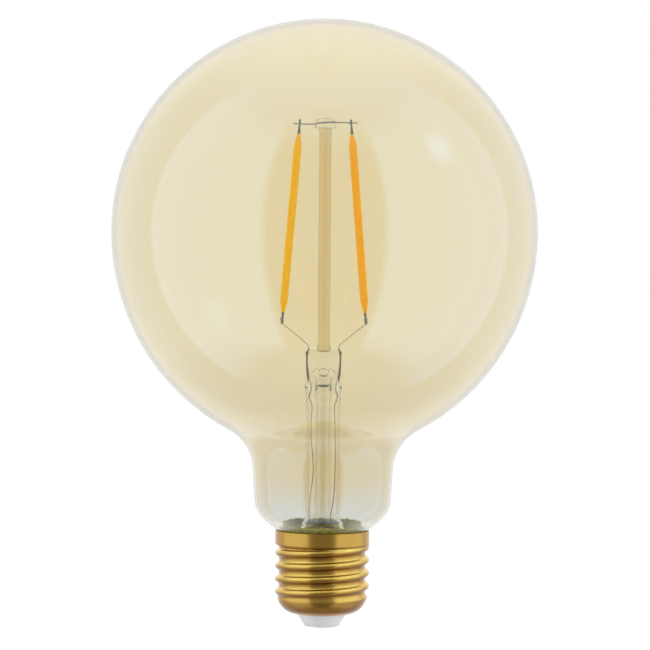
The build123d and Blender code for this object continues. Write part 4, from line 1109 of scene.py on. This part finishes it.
def studio():
    """White room as the eye sees it; mirrored and scattered light also meets two tall
    softboxes either side of a dark card, a small round lamp, grey flags behind them, a white
    ceiling and a dimmer floor. Angles are degrees from the camera's side, or above level."""
    world = bpy.data.worlds.new("studio")
    bpy.context.scene.world = world
    world.use_nodes = True
    tree = world.node_tree
    tree.nodes.clear()
    way_out = add(tree, "ShaderNodeTexCoord").outputs["Generated"]
    way = add(tree, "ShaderNodeSeparateXYZ", {0: way_out}).outputs
    facing = add(tree, "ShaderNodeVectorMath", {0: way_out, 1: ROUND_WAY}, operation="DOT_PRODUCT")
    path = add(tree, "ShaderNodeLightPath").outputs
    known = {"x": way["X"], "y": way["Y"], "z": way["Z"], "lamp_cosine": facing.outputs["Value"],
             "glossy": path["Glossy Depth"], "diffuse": path["Diffuse Depth"]}
    work_out(tree, known, (
        ("towards", "MULTIPLY", "y", -1.0),
        ("around", "ARCTAN2", "x", "towards"),
        ("off_axis", "ABSOLUTE", "around"),
        ("up", "ARCSINE", "z"),
        ("off_lamp", "ARCCOSINE", "lamp_cosine"),
        ("right_near", "SMOOTHSTEP", "around", radians(31), radians(36), 0.0, 1.0),
        ("right_far", "SMOOTHSTEP", "around", radians(113), radians(118), 1.0, 0.0),
        ("left_near", "SMOOTHSTEP", "around", radians(-36), radians(-31), 1.0, 0.0),
        ("left_far", "SMOOTHSTEP", "around", radians(-108), radians(-103), 0.0, 1.0),
        ("box_foot", "SMOOTHSTEP", "up", radians(-64), radians(-52), 0.0, 1.0),
        ("box_top", "SMOOTHSTEP", "up", radians(62), radians(80), 1.0, 0.0),
        ("right_box", "MULTIPLY", "right_near", "right_far"),
        ("left_box", "MULTIPLY", "left_near", "left_far"),
        ("both_boxes", "ADD", "right_box", "left_box"),
        ("box_height", "MULTIPLY", "box_foot", "box_top"),
        ("box", "MULTIPLY", "both_boxes", "box_height"),
        ("sides", "SMOOTHSTEP", "off_axis", radians(40), radians(100), FRONT_CARD, FLAGS),
        ("background", "SMOOTHSTEP", "off_axis", radians(138), radians(156), 0.0, 1 - FLAGS),
        ("walls", "ADD", "sides", "background"),
        ("above", "SMOOTHSTEP", "up", radians(35), radians(75), 0.0, 1.0),
        ("to_ceiling", "SUBTRACT", CEILING, "walls"),
        ("upper_room", "MULTIPLY_ADD", "above", "to_ceiling", "walls"),
        ("below", "SMOOTHSTEP", "up", radians(-80), radians(-50), 1.0, 0.0),
        ("to_floor", "SUBTRACT", LOWER_ROOM, "upper_room"),
        ("room", "MULTIPLY_ADD", "below", "to_floor", "upper_room"),
        ("to_box", "SUBTRACT", SOFTBOX, "room"),
        ("boxed_room", "MULTIPLY_ADD", "box", "to_box", "room"),
        ("lamp", "SMOOTHSTEP", "off_lamp", radians(1.5), radians(10), ROUND_LAMP, 0.0),
        ("light", "ADD", "boxed_room", "lamp"),
        ("bounces", "ADD", "glossy", "diffuse"),
        ("bounced", "GREATER_THAN", "bounces", 0.5),
        ("to_light", "SUBTRACT", "light", 1.0),
        ("strength", "MULTIPLY_ADD", "bounced", "to_light", 1.0),
        ("before", "SMOOTHSTEP", "off_axis", radians(120), radians(150), 1.0, 0.0),
        ("tinted", "MULTIPLY", "bounced", "before")))
    tint = add(tree, "ShaderNodeMix", {0: known["box"], 6: ROOM_WHITE, 7: BOX_WHITE}, data_type="RGBA")
    colour = add(tree, "ShaderNodeMix", {0: known["tinted"], 6: (1, 1, 1, 1), 7: tint.outputs[2]},
                 data_type="RGBA")
    sky = add(tree, "ShaderNodeBackground", {"Color": colour.outputs[2], "Strength": known["strength"]})
    add(tree, "ShaderNodeOutputWorld", {"Surface": sky})


def floor():
    """White sweep under the bulb: nearly self-lit, so only a faint contact shade shows, and not
    met by mirrored rays or rays through glass, which see the room instead."""
    made, tree = material("white_floor")
    grain = add(tree, "ShaderNodeTexNoise", {
        "Vector": add(tree, "ShaderNodeTexCoord").outputs["Object"], "Scale": every(2.5)})
    shade = add(tree, "ShaderNodeValToRGB", {"Fac": grain}, ((0.3, "F6F6F6"), (0.7, "FCFCFC")))
    paper = add(tree, "ShaderNodeBsdfDiffuse", {"Color": shade})
    glow = add(tree, "ShaderNodeEmission", {"Strength": 1.04})
    both = add(tree, "ShaderNodeMixShader", {0: 0.92, 1: paper, 2: glow})
    add(tree, "ShaderNodeOutputMaterial", {"Surface": both})
    turn = np.linspace(0, 2 * pi, 96, endpoint=False)
    points = np.column_stack((FLOOR_R * np.cos(turn), FLOOR_R * np.sin(turn), 0 * turn))
    mesh = bpy.data.meshes.new("floor")
    mesh.from_pydata(points.tolist(), [], [tuple(range(len(points)))])
    mesh.materials.append(made)
    piece = bpy.data.objects.new("floor", mesh)
    piece.visible_glossy = False
    piece.visible_transmission = False
    bpy.context.scene.collection.objects.link(piece)


def camera():
    """Long lens level with the globe, aimed slightly down."""
    lens = bpy.data.cameras.new("camera")
    lens.sensor_width = SENSOR_WIDTH
    lens.lens = FOCAL_LENGTH
    lens.clip_start, lens.clip_end = 0.05, 20.0
    holder = bpy.data.objects.new("camera", lens)
    level = (CAMERA_AIM - CAMERA_SPOT).to_track_quat("-Z", "Y").to_matrix()
    turn = level @ Matrix.Rotation(CAMERA_ROLL, 3, "Z")
    holder.matrix_world = Matrix.Translation(CAMERA_SPOT) @ turn.to_4x4()
    bpy.context.scene.collection.objects.link(holder)
    bpy.context.scene.camera = holder


studio()
floor()
camera()
bpy.context.scene.view_settings.view_transform = "Standard"
# a ray through the globe, the stem and the exhaust tube crosses a dozen faces of glass, and more
# where it bounces inside them
bpy.context.scene.cycles.max_bounces = 24
bpy.context.scene.cycles.transmission_bounces = 24
